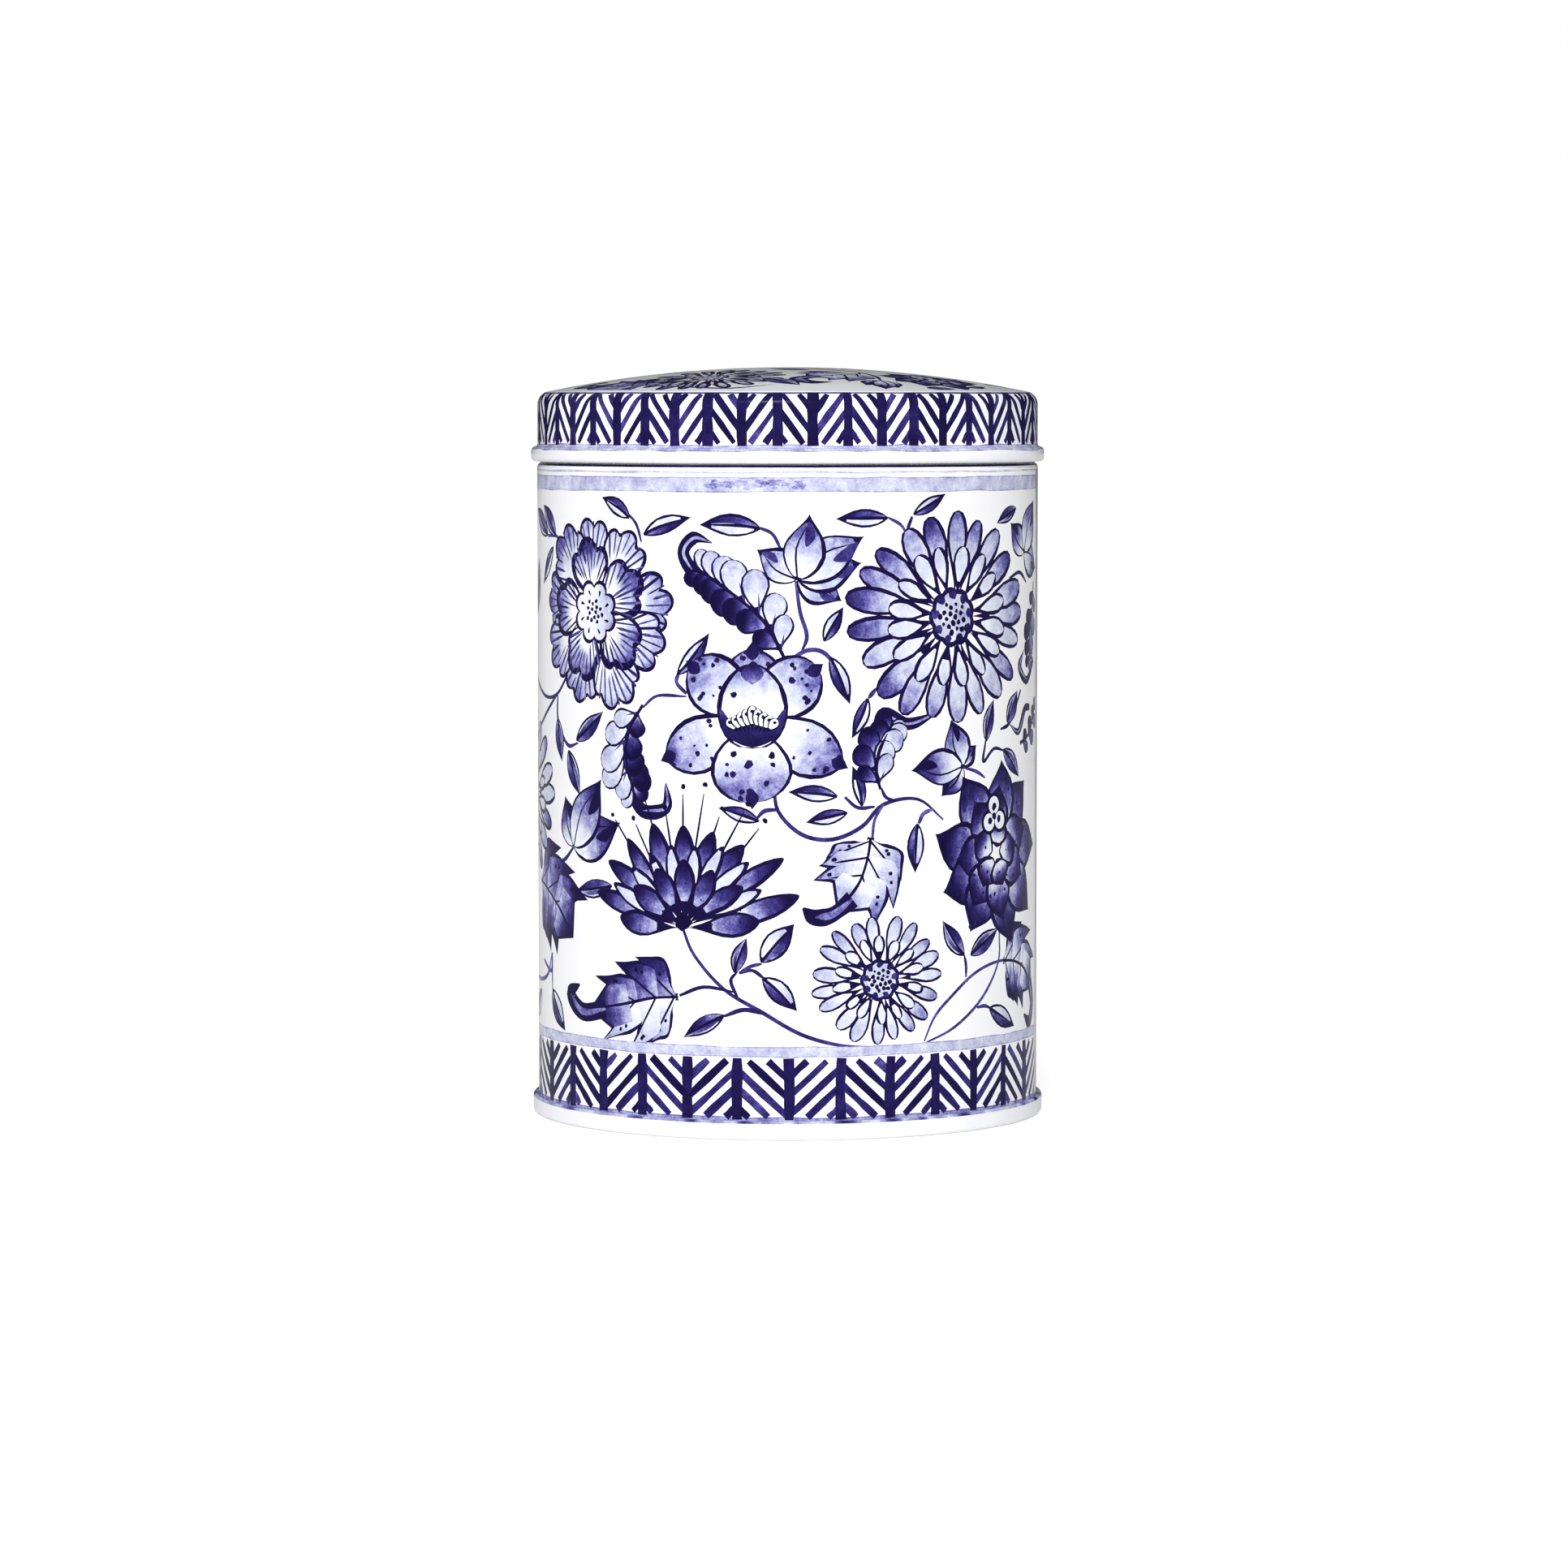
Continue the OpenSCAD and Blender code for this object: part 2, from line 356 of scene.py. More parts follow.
def daisy(drawing, centre, reach, petals, heart_r, tips, rim, squash=0.88):
    """Two rings of long petals. The outer ring is washed dark towards the tips."""
    for row, (count, share, wide) in enumerate(((petals, 1.0, 0.225), (petals - 5, 0.68, 0.18))):
        for i in range(count):
            a = turn((i + 0.5 * row) * 360 / count + drawing.chance.uniform(-3, 3))
            length = drawing.vary(reach * share, 0.05)
            tip = centre + complex(a.real * length, a.imag * length * squash)
            base = centre + complex(a.real, a.imag * squash) * heart_r * 0.7
            deep = tips * drawing.chance.uniform(0.3, 1.15) if row == 0 else tips * 0.2
            inked_blade(drawing, base, tip, drawing.vary(reach * wide, 0.12), rim=(rim, rim * 1.2),
                        ink=(0.05, min(deep, 0.88)), bend=drawing.chance.uniform(-0.05, 0.05),
                        widest=0.72, blunt=(1.0, 0.4), fade=(0.45, 1.05), line=0.97)
    heart(drawing, centre, heart_r, 19)


# %% Frilled and broad flowers
def frill_outline(base, tip, spread, lobes, depth, grow, phase):
    """Outline of a fan-shaped petal with a scalloped edge. grow moves the edge out or in."""
    length = abs(tip - base)
    t = np.linspace(-1, 1, 8 * lobes + 5)
    head = np.abs(np.cos(t * math.pi / 2)) ** 0.3
    scallop = 1 - depth * (1 - np.abs(np.sin((t + 1 + phase) * lobes * math.pi / 2)) ** 0.6)
    reach = (length + grow) * head * scallop
    return base + (tip - base) / length * np.exp(1j * t * (spread + grow / length)) * reach


def frill(drawing, base, tip, spread, lobes, rim, ink, hatch, lean, stroke):
    """A frilled petal: dark fan, pale fan inside it, and hatching pulled in from the edge."""
    phase = drawing.chance.uniform(0, 0.3)
    drawing.fill(frill_outline(base, tip, spread, lobes, 0.16, 0, phase), 0.98)
    length = abs(tip - base)
    ahead = (tip - base) / length
    inner = frill_outline(base, tip, spread * 0.98, lobes, 0.18, -rim * drawing.weight, phase)
    drawing.fill(inner + 1j * ahead * lean, ink, (base, tip), 0.45, 1.0)
    for i in range(hatch):
        side = ((i + 0.5) / hatch * 2 - 1) * 0.84
        top = length * abs(math.cos(side * math.pi / 2)) ** 0.3 * 0.93
        start = base + ahead * np.exp(1j * side * spread) * top
        low = top - drawing.vary(length * stroke, 0.4)
        end = base + ahead * np.exp(1j * side * spread * 0.8) * low
        brush(drawing, [start, (start + end) / 2, end], drawing.vary(0.034 * length, 0.35),
              ink=drawing.chance.uniform(0.6, 0.95), tails=(1.0, 0.1), steps=2)


def peony(drawing, centre, reach, angle):
    """Two rings of frilled petals round a lobed middle."""
    for i in (0, 2, 4, 6, 8, 1, 3, 5, 7):
        a = turn(angle + 40 * i + drawing.chance.uniform(-5, 5))
        tip = centre + a * drawing.vary(reach, 0.05)
        frill(drawing, centre + a * reach * 0.3, tip, drawing.chance.uniform(0.82, 0.95), 4, rim=0.55,
              ink=(0.03, drawing.chance.uniform(0.3, 0.7)), hatch=10,
              lean=drawing.chance.uniform(-0.1, 0.1), stroke=0.42)
    for i in (0, 2, 4, 1, 3):
        a = turn(angle + 20 + 72 * i + drawing.chance.uniform(-6, 6))
        tip = centre + a * drawing.vary(reach * 0.74, 0.05)
        frill(drawing, centre + a * reach * 0.1, tip, drawing.chance.uniform(0.84, 0.95), 3, rim=0.95,
              ink=(0.0, 0.9), hatch=11, lean=drawing.chance.uniform(-0.35, 0.35), stroke=0.5)
    lobe = 1 - 0.2 * (1 - np.abs(np.sin(np.arange(64) * math.pi / 8)) ** 0.7)
    drawing.fill(centre + ring(64) * reach * 0.335 * lobe, 0.97)
    drawing.fill(centre + ring(64) * reach * 0.295 * lobe, (0.02, 0.3), (centre, centre + reach * 0.3))
    for i in range(8):
        edge = centre + reach * 0.23 * turn(45 * i + 22)
        brush(drawing, [edge, centre + reach * 0.17 * turn(45 * i + 18)], 0.4, tails=(1, 0.2), steps=2)
    for i in range(15):
        dot(drawing, centre + reach * 0.13 * math.sqrt((i + 0.5) / 15) * turn(137.5 * i), 0.66)


def spotted_petal(drawing, base, tip, width, spots, rim, ink, widest, blunt, bend=0.0,
                  fade=(0.35, 0.9)):
    """A broad petal that ends in a point, with dark spots near the tip."""
    spine, normal, half = inked_blade(drawing, base, tip, width, rim=rim, ink=ink, bend=bend,
                                      widest=widest, blunt=blunt, fade=fade, count=13)
    for _ in range(spots):
        k = int(drawing.chance.integers(5, 11))
        across = drawing.chance.uniform(-0.72, 0.72)
        place = spine[k] + normal[k] * half[k] * across
        dot(drawing, place, drawing.vary(0.075 * width, 0.45), drawing.chance.uniform(0.85, 1))


def broad_flower(drawing, centre, reach, angle=0):
    """Six broad spotted petals behind a cup that holds the stamens."""
    petals = ((90, 1.02, 0.84, 0.6), (140, 1.2, 0.9, 0.46), (38, 1.2, 0.9, 0.46),
              (204, 1.44, 0.84, 0.58), (333, 1.46, 0.84, 0.58), (270, 1.2, 1.2, 0.42))
    for degrees, share, wide, blunt in petals:
        a = turn(degrees + angle)
        spotted_petal(drawing, centre + a * reach * 0.1, centre + a * reach * share, reach * wide, 13,
                      rim=(0.55, 0.65), ink=(0.0, 0.5), bend=drawing.chance.uniform(-0.05, 0.05),
                      blunt=(0.5, blunt), widest=0.58)
        tip = centre + a * reach * (share + 0.1)
        inked_blade(drawing, tip - a * reach * 0.28, tip, reach * 0.2, rim=(0, 0), ink=(0.9, 0.97),
                    widest=0.4, blunt=(1, 1.4))
    cup = turn(90 + angle)
    side = -1j * cup
    spotted_petal(drawing, centre - cup * reach * 0.42, centre + cup * reach * 0.8, reach * 1.04, 3,
                  rim=(0.7, 0.7), ink=(0.03, 0.6), blunt=(0.36, 0.5), widest=0.47, fade=(0.62, 1.05))
    across = np.array([-0.47, -0.46, -0.36, -0.2, 0, 0.2, 0.36, 0.46, 0.47, 0.3, 0.12, -0.12, -0.3])
    rise = np.array([0.16, -0.04, -0.24, -0.35, -0.4, -0.35, -0.24, -0.04, 0.16, -0.04, -0.1, -0.1,
                     -0.04])
    bowl = curve(centre + reach * (side * across + cup * rise), True, 3)
    drawing.fill(bowl, (0.97, 0.7), (centre - cup * reach * 0.4, centre + cup * reach * 0.2))
    tip = centre + cup * reach * 0.8
    inked_blade(drawing, tip - cup * reach * 0.3, tip + cup * reach * 0.04, reach * 0.34, rim=(0, 0),
                ink=(0.5, 0.97), widest=0.45, blunt=(1, 1.3))
    for i in range(9):
        swing = i / 8 * 2 - 1
        top = centre + side * swing * reach * 0.36 + cup * reach * (0.2 - 0.2 * abs(swing))
        foot = centre + side * swing * reach * 0.2 - cup * reach * 0.2
        inked_blade(drawing, foot, top, 0.17 * reach, rim=(0.24, 0.24), ink=0.0, widest=0.72,
                    blunt=(0.7, 0.42), line=1.0)
        dot(drawing, foot + (top - foot) * 0.78, 0.055 * reach)


def dark_flower(drawing, centre, reach, angle):
    """A double flower painted nearly all dark, its petals pointed and spotted."""
    for count, share, wide, offset in ((9, 1.05, 0.6, 0), (7, 0.74, 0.52, 22), (5, 0.44, 0.42, 8)):
        for i in range(count):
            a = turn(angle + offset + i * 360 / count + drawing.chance.uniform(-9, 9))
            tip = centre + a * drawing.vary(reach * share, 0.1)
            spotted_petal(drawing, centre + a * reach * share * 0.15, tip, reach * wide, 7,
                          rim=(0.55, 0.8), ink=(0.06, drawing.chance.uniform(0.85, 1)), widest=0.5,
                          blunt=(0.7, 1.3), bend=drawing.chance.uniform(-0.16, 0.16),
                          fade=(0.28, 0.74))
    up = turn(90 + angle)
    nest = centre + up * reach * 0.42
    seeds = [turn(90 + angle + k) for k in (0, 120, 240)]
    for a in seeds:
        drawing.fill(nest + a * reach * 0.12 + ring(16) * reach * 0.14, 1.0)
    for a in seeds:
        drawing.fill(nest + a * reach * 0.12 + ring(16) * reach * 0.1, 0.03)
        dot(drawing, nest + a * reach * 0.1, 0.09 * reach)
    dot(drawing, nest, 0.08 * reach)


def lotus(drawing, base, reach, angle=0):
    """A fan of pointed petals seen from the side, with stamens above it."""
    for i in range(9):
        a = turn(90 + angle + (i - 4) * 9.5)
        foot = base + a * reach * 0.62
        top = base + a * drawing.vary(reach * 1.18, 0.1)
        brush(drawing, [foot, (foot + top) / 2, top], 0.32, tails=(0.6, 0.6))
        dot(drawing, top + a * drawing.vary(1.1, 0.4), 0.8)
    rows = ((9, 148, 1.02, 0.215, (0.0, 1.0), 0.44), (8, 128, 0.8, 0.17, (0.0, 0.22), 0.38),
            (7, 168, 0.62, 0.23, (0.3, 0.98), 0.42))
    for count, spread, share, wide, ink, rim in rows:
        order = sorted(range(count), key=lambda i: -abs(i - (count - 1) / 2))
        for i in order:
            swing = (i / (count - 1) - 0.5) * spread
            a = turn(90 + angle + swing)
            tip = base + a * drawing.vary(reach * share * (1 + 0.12 * abs(swing) / 75), 0.08)
            spotted_petal(drawing, base + a * 0.3, tip, drawing.vary(reach * wide, 0.12), 4,
                          (rim, rim * 1.5), ink, bend=drawing.chance.uniform(-0.07, 0.07), widest=0.66,
                          blunt=(1.15, 0.62), fade=(0.42, 0.9))
    dot(drawing, base + turn(90 + angle) * 0.05 * reach, 0.17 * reach)


# %% [markdown]
# ## Larger leaves
# The ivy leaves are three or five pointed blades that share a base. The feathered leaves have a row
# of rounded lobes down each side of a curved rib, dark on one side and washed on the other, and end in
# a hook like a comma.

# %% Ivy, feathered and lobed leaves
def rib_guide(rib, steps):
    """A function that gives the place and the heading at a share of the way along a rib."""
    spine = curve(rib, steps=steps)
    share = np.linspace(0, 1, len(spine))
    ahead = np.gradient(spine)
    ahead /= np.abs(ahead)
    return lambda t: tuple(complex(np.interp(t, share, line.real), np.interp(t, share, line.imag))
                           for line in (spine, ahead))


def ivy(drawing, base, tips, width, dark):
    """Pointed lobes from one base, painted in the order given."""
    for tip in tips:
        length = abs(tip - base)
        bend = drawing.chance.uniform(-0.08, 0.08)
        inked_blade(drawing, base, tip, min(width, length * 0.72), rim=(0.34, 0.6), bend=bend,
                    ink=(0.04, min(0.95, dark * drawing.chance.uniform(0.9, 1.4))), widest=0.42,
                    blunt=(0.7, 1.35), fade=(0.2, 0.85), count=17)
        middle = base + (tip - base) * (0.45 + 0.1j)
        brush(drawing, [base, middle, base + (tip - base) * 0.82], 0.3, tails=(1.0, 0.1))
        patch = [base + (tip - base) * (0.5 - 0.04j), base + (tip - base) * (0.68 - 0.15j),
                 base + (tip - base) * (0.88 - 0.02j), base + (tip - base) * (0.7 + 0.01j)]
        drawing.fill(curve(patch, True, 4), min(0.97, dark + 0.3))


def feather(drawing, rib, width, dark_side, hook, lobes, dark=(0.25, 1.0), pale=(0.02, 0.24)):
    """Lobes down both sides of a rib, dark on one side, and a hook at the far end."""
    brush(drawing, hook, width * 0.27, ink=0.97, tails=(1.0, 0.1), steps=6)
    brush(drawing, hook[1:], width * 0.06, ink=0.4, tails=(0.2, 0.1), steps=5)
    guide = rib_guide(rib, 8)
    for i in range(lobes):
        t = 0.97 - 0.87 * i / (lobes - 1)
        centre, a = guide(t)
        reach = width * (0.62 + 0.38 * math.sin(math.pi * min(1, t * 1.05)))
        for side in (dark_side, -dark_side):
            shade = side == dark_side
            out = a * turn(side * drawing.chance.uniform(34, 44))
            tip = centre + out * drawing.vary(reach * (0.8 if shade else 0.9), 0.1)
            inked_blade(drawing, centre, tip, reach * (0.58 if shade else 0.6), bend=-side * 0.14,
                        rim=(0.45, 0.3) if shade else (0.34, 0.34), ink=dark if shade else pale,
                        widest=0.68, blunt=(0.7, 0.45), line=0.97, fade=(0.15, 0.75))
            if not shade:
                brush(drawing, [centre, (centre + tip) / 2], 0.3, ink=0.7, tails=(1, 0.1), steps=2)
    brush(drawing, rib, 0.55, tails=(1.0, 0.3), steps=6)


def lobed(drawing, rib, width, tail, dark, pale_side=0):
    """A broad leaf with three pairs of points, darker towards them, and a curled tail."""
    guide = rib_guide(rib, 10)

    def along(t, out, side):
        centre, a = guide(t)
        return centre + 1j * side * a * out * width

    outlines = []
    for side in (-1, 1):
        for i in range(3):
            t0, t1 = 0.02 + 0.72 * i / 3, 0.02 + 0.72 * (i + 1) / 3
            wide = (0.92, 1.0, 0.78)[i] * drawing.chance.uniform(0.88, 1.08) * 0.62
            notch = 0.34 if i < 2 else 0.22
            start = along(t0, 0.3 if i else 0.0, side)
            first = (0.09, 0.42) if i == 0 else (0.02, 0.78)
            edge = [along(t0 + first[0], wide * first[1], side),
                    along((t0 + t1) / 2 + 0.02, wide * 0.94, side),
                    along(t1 + 0.04, wide * 1.04, side)]
            tip = along(t1 + 0.16, wide * 1.12, side)
            back = [along(t1 + 0.05, wide * 0.78, side), along(t1, notch, side),
                    along(t1, 0, side), along(t0, 0, side)]
            outline = np.concatenate([curve([start] + edge, steps=4), [tip], back])
            deep = 0.25 if side == pale_side else dark
            outlines.append((outline, along(t0 + 0.03, 0, side), tip, deep))
    end = [along(0.6, 0.3, 1), along(0.78, 0.34, 1), along(1.16, 0, 1), along(0.78, 0.34, -1),
           along(0.6, 0.3, -1)]
    outlines.append((np.array(end), along(0.6, 0, 1), end[2], dark))
    for outline, *_ in outlines:
        middle = outline.mean()
        drawing.fill(middle + (outline - middle) * (1 + 0.62 / np.abs(outline - middle)), 0.96)
    for outline, base, tip, deep in outlines:
        middle = outline.mean()
        strong = min(0.97, deep * drawing.chance.uniform(0.9, 1.5))
        pale = 0.3 if deep > 0.8 else 0.03
        drawing.fill(outline, (pale, strong), (base, tip), 0.1, 0.75 if deep > 0.6 else 0.95)
        for _ in range(2):
            dot(drawing, middle + (tip - middle) * drawing.chance.uniform(-0.1, 0.5), 0.6)
        brush(drawing, [base, base * 0.55 + tip * 0.45, base * 0.25 + tip * 0.75], 0.3, tails=(1, 0.1))
    brush(drawing, rib, 0.45, tails=(1.0, 0.2), steps=6)
    if tail is not None:
        brush(drawing, tail, width * 0.26, ink=0.97, tails=(1.0, 0.12), steps=6)
        brush(drawing, tail[:-1], width * 0.1, ink=0.5, tails=(0.3, 0.1), steps=5)


# %% [markdown]
# ## Borders and bands
# A herringbone border runs round the foot of the wall and round the lid. Its upright stems are joined
# by slanting strokes that lean one way on one side of a stem and the other way on the other. Pale
# bands of watery blue lie along the borders, and their edges wander a little.

# %% Herringbone border and washed bands
def herringbone(drawing, x0, pitch, bays, low, high, slope, step, stem_w, bar_w, shortest=6,
                around=None):
    """Stems a pitch apart. Bars rise to the right after even stems, and to the left after odd ones.

    Where the border closes on itself, around is the number of stems in one turn."""
    rise = pitch * slope
    first = drawing.chance.integers(1 << 30)
    for i in range(bays + 1):
        chance = np.random.default_rng(first + (i % around if around else i))
        left = x0 + i * pitch
        foot = low - rise - step * chance.uniform(0.1, 0.3)
        while foot < high and i < bays:
            start, end = (foot, foot + rise) if i % 2 == 0 else (foot + rise, foot)
            ends = clipped_bar(left, left + pitch, start, end, low + 0.3, high - 0.3, shortest)
            foot += step * chance.uniform(0.93, 1.07)
            if ends is None:
                continue
            ink = chance.choice([0.97, 0.94, 0.91, 0.87, 0.82, 0.74])
            middle = (ends[0] + ends[1]) / 2 + 0.07j * chance.uniform(-1, 1)
            brush(drawing, [ends[0], middle, ends[1]], bar_w * chance.uniform(0.88, 1.1), float(ink),
                  (0.95, 0.85), 3)
        lean = chance.uniform(-0.12, 0.12)
        points = [left + low * 1j, left + lean + (low + high) / 2 * 1j, left - lean + high * 1j]
        brush(drawing, points, stem_w * chance.uniform(0.9, 1.1), chance.uniform(0.89, 0.98),
              (0.97, 0.95), 3)


def clipped_bar(x_left, x_right, z_left, z_right, low, high, shortest):
    """A slanting bar cut to lie between two heights, or None where too little of it is left."""
    t = np.linspace(0, 1, 41)
    z = z_left + (z_right - z_left) * t
    between = np.flatnonzero((z > low) & (z < high))
    if len(between) < shortest:
        return None
    ends = t[between[[0, -1]]]
    x = x_left + (x_right - x_left) * ends
    return complex(x[0], z[between[0]]), complex(x[1], z[between[-1]])


def washed_band(drawing, x0, x1, low, high, ink, wander=0.1, edge=0.0):
    """A pale band with wandering edges, darker along them where the water dried."""
    count = int((x1 - x0) / 3.5)
    x = np.linspace(x0, x1, 3 * count + 1)
    sides = []
    for level in (low, high):
        rough = drawing.chance.uniform(-wander, wander, count + 1)
        rough[-1] = rough[0]
        smooth = np.interp(np.linspace(0, count, 3 * count + 1), np.arange(count + 1), rough)
        sides.append(x + 1j * (level + smooth))
    drawing.fill(np.concatenate([sides[0], sides[1][::-1]]), ink + edge)
    if edge:
        drawing.fill(np.concatenate([sides[0] + 0.16j, (sides[1] - 0.16j)[::-1]]), ink)


# %% [markdown]
# ## The wall's picture
# The wall was printed flat, then rolled. The flat picture is one length of the wall's girth, with
# zero at the front. The flower garden is drawn twice, half a turn apart, as such repeats are
# made, with other chance values so that no two flowers are quite the same. A plain strip stays bare
# where the two edges of the sheet are locked together, because ink would spoil the fold.

# %% The flower garden, half a turn wide
def at(x, z):
    """A place on a flat sheet, in millimetres."""
    return complex(x, z)


def garden(d, shift=0.0):
    """Vines, leaves and flowers. x is the distance round the wall from the front, z the height."""
    def p(x, z):
        return at(x + shift, z)

    vines = (
        ((-39.2, 67.8), (-43, 64.5), (-48, 63.8), (-54, 65.5), (-60, 68)),
        ((-43, 64.5), (-47, 62), (-52, 59.3), (-58, 57)),
        ((-43, 64.3), (-42.8, 60.5), (-39.6, 57), (-36.5, 57.4)),
        ((-26, 92.2), (-23.8, 90.2), (-22.8, 87.5)),
        ((-4, 89.7), (-2.2, 88.8), (-1, 86.6)),
        ((15, 91.2), (17.4, 89.8), (18.6, 87)),
        ((19, 91.3), (18.2, 89), (18.8, 86.5)),
        ((1.2, 82), (1.8, 77.5), (2.8, 74), (2, 71.6)),
        ((-0.6, 67.8), (0.6, 70.4), (3, 71.9), (5.6, 71.3), (8.3, 67.6)),
        ((-22.6, 63.2), (-20, 65), (-15.2, 65)),
        ((-15.2, 65.4), (-16.8, 67), (-16.4, 68.6)),
        ((13.2, 66.2), (12, 64.8)),
        ((-2, 52.6), (-1.4, 48.4), (2, 45), (6.5, 44.2), (11, 46), (14.4, 49.2), (20, 49.8),
         (24.6, 46.6)),
        ((-1.6, 48.6), (-3.4, 48.4), (-4.6, 47.2)),
        ((12.6, 44), (13, 47), (14.4, 49.2)),
        ((8.4, 50.4), (10.4, 48.8), (13, 48.9)),
        ((14, 51.6), (14.8, 50.2), (16.4, 49.7)),
        ((20.2, 46.2), (21, 47.6), (22.6, 48.2)),
        ((28.4, 54.2), (31.4, 53.4), (33.4, 52.4)),
        ((33.6, 58), (33, 54.8), (35.6, 56.6), (38.4, 56.2)),
        ((-37.8, 41.8), (-41, 39.6), (-46, 38.8), (-52, 36)),
        ((-15.8, 30.8), (-14, 27), (-9.5, 22.2), (-4, 19), (2, 15.6), (8, 13.9), (14, 13.5)),
        ((-16.4, 21), (-12.5, 22.4), (-8, 21.8)),
        ((-9.4, 18.2), (-6.4, 19.2), (-3.2, 18.6)),
        ((-7.4, 21), (-8.4, 23.4), (-7.4, 24.8)),
        ((-7.2, 24.6), (-5.2, 25), (-3.4, 23.8)),
        ((-6.8, 24.8), (-5.4, 25.6), (-3.8, 26)),
        ((37.2, 29.2), (37, 24.8), (33, 19.8), (27, 15.8), (21.6, 13.8)),
        ((44, 24.4), (37, 24.8), (31, 23.4), (25.8, 20), (23, 17.4), (21.2, 14)),
        ((29.2, 23), (29.2, 24.8), (28.8, 26.4)),
        ((31.6, 18.3), (33.4, 18.4), (34.8, 18)),
        ((-50, 24), (-46, 22.6), (-45.6, 25.4), (-45.4, 19.8)),
        ((-60, 21), (-52, 20.8), (-47.6, 22), (-45.8, 25)),
        ((44.2, 65), (40.4, 60.4), (37.4, 59.4)),
        ((40, 81.8), (43.6, 82.6), (46.6, 81)),
        ((-47, 88), (-43.2, 88), (-40.6, 86.6)),
    )
    for vine in vines:
        brush(d, [p(*v) for v in vine], d.vary(0.58, 0.2), ink=d.chance.uniform(0.62, 0.9),
              tails=(0.7, 0.5), steps=5)

    small_leaves = (
        ((-43.5, 88), (-49.6, 92.6), 3.2, 0.8), ((-47, 88.1), (-55.5, 92), 3.4, 0.9),
        ((-44.6, 86.4), (-49.6, 80.6), 2.5, 0.3), ((-25, 91), (-30.6, 94), 2.6, 0.3),
        ((-22.4, 88.6), (-14.4, 91.2), 2.7, 0.2), ((-4, 89.6), (-13.2, 90.1), 3.4, 0.4),
        ((15, 91.1), (7, 91), 2.8, 0.3), ((19.2, 91.6), (25, 94.6), 2.2, 0.6),
        ((42.2, 92.2), (36.2, 90), 2.3, 0.7), ((6.2, 70.9), (9.2, 63.9), 2.7, 0.5),
        ((5.3, 73.2), (8.2, 78.2), 2.4, 0.5), ((-16.7, 68.2), (-11.6, 74.4), 2.6, 0.6),
        ((11.9, 64.8), (9.4, 58.9), 2.3, 0.3), ((11, 49), (9.5, 55), 2.1, 0.2),
        ((7.3, 50.5), (0, 51.2), 2.6, 0.4), ((8.8, 48.1), (2.6, 46.7), 2.3, 0.4),
        ((-4.2, 46.9), (-10.3, 48.8), 2.3, 0.4), ((20, 46.2), (19.6, 38.9), 3.0, 0.6),
        ((-37, 57.8), (-30.4, 62.4), 3.0, 0.9), ((-43, 60.9), (-41.4, 54.3), 3.0, 0.7),
        ((-39.3, 56.2), (-36, 49.6), 3.2, 0.9), ((-28.6, 36.6), (-37.2, 35.3), 2.9, 0.8),
        ((-45.3, 19.9), (-40.5, 14), 3.6, 0.5), ((-7.8, 24.6), (-6, 29.8), 2.4, 0.8),
        ((-3.9, 26.2), (1, 31.9), 3.8, 0.4), ((-3.7, 23.9), (1.4, 19), 3.2, 0.5),
        ((-9.4, 18.3), (-15.8, 14.8), 2.6, 0.7), ((33.7, 57.8), (35.6, 64), 2.7, 0.8),
        ((39.4, 60.3), (42.9, 65), 3.2, 0.8), ((38.2, 56.3), (43.6, 51.9), 3.0, 0.8),
        ((28.8, 26.3), (24.5, 31.7), 3.0, 0.8), ((30.2, 26.2), (36.9, 29.8), 3.0, 0.8),
        ((34.6, 18), (42.1, 14.6), 3.2, 0.5), ((-52, 19.2), (-58, 14.6), 3.4, 0.6),
        ((-55.5, 76), (-53, 84.6), 4.4, 0.8),
    )
    for base, tip, width, dark in small_leaves:
        leaf(d, p(*base), p(*tip), width, dark, d.chance.uniform(-0.1, 0.1))

    ivy(d, p(1.4, 82.2), [p(-4.6, 86.6), p(8, 79), p(11, 84.6), p(11.4, 88.5), p(3.2, 91.8)], 6.4,
        0.45)
    ivy(d, p(-37.8, 41.9), [p(-26.8, 46.1), p(-40.4, 49.4), p(-30.8, 52.4)], 7.4, 0.85)
    ivy(d, p(28.4, 54.3), [p(31.4, 57.4), p(24.2, 50), p(26, 61.4), p(18.8, 54)], 5.6, 0.8)
    ivy(d, p(45.6, 85.6), [p(52.6, 83), p(40.3, 90.1), p(51, 93.4)], 6.4, 0.75)

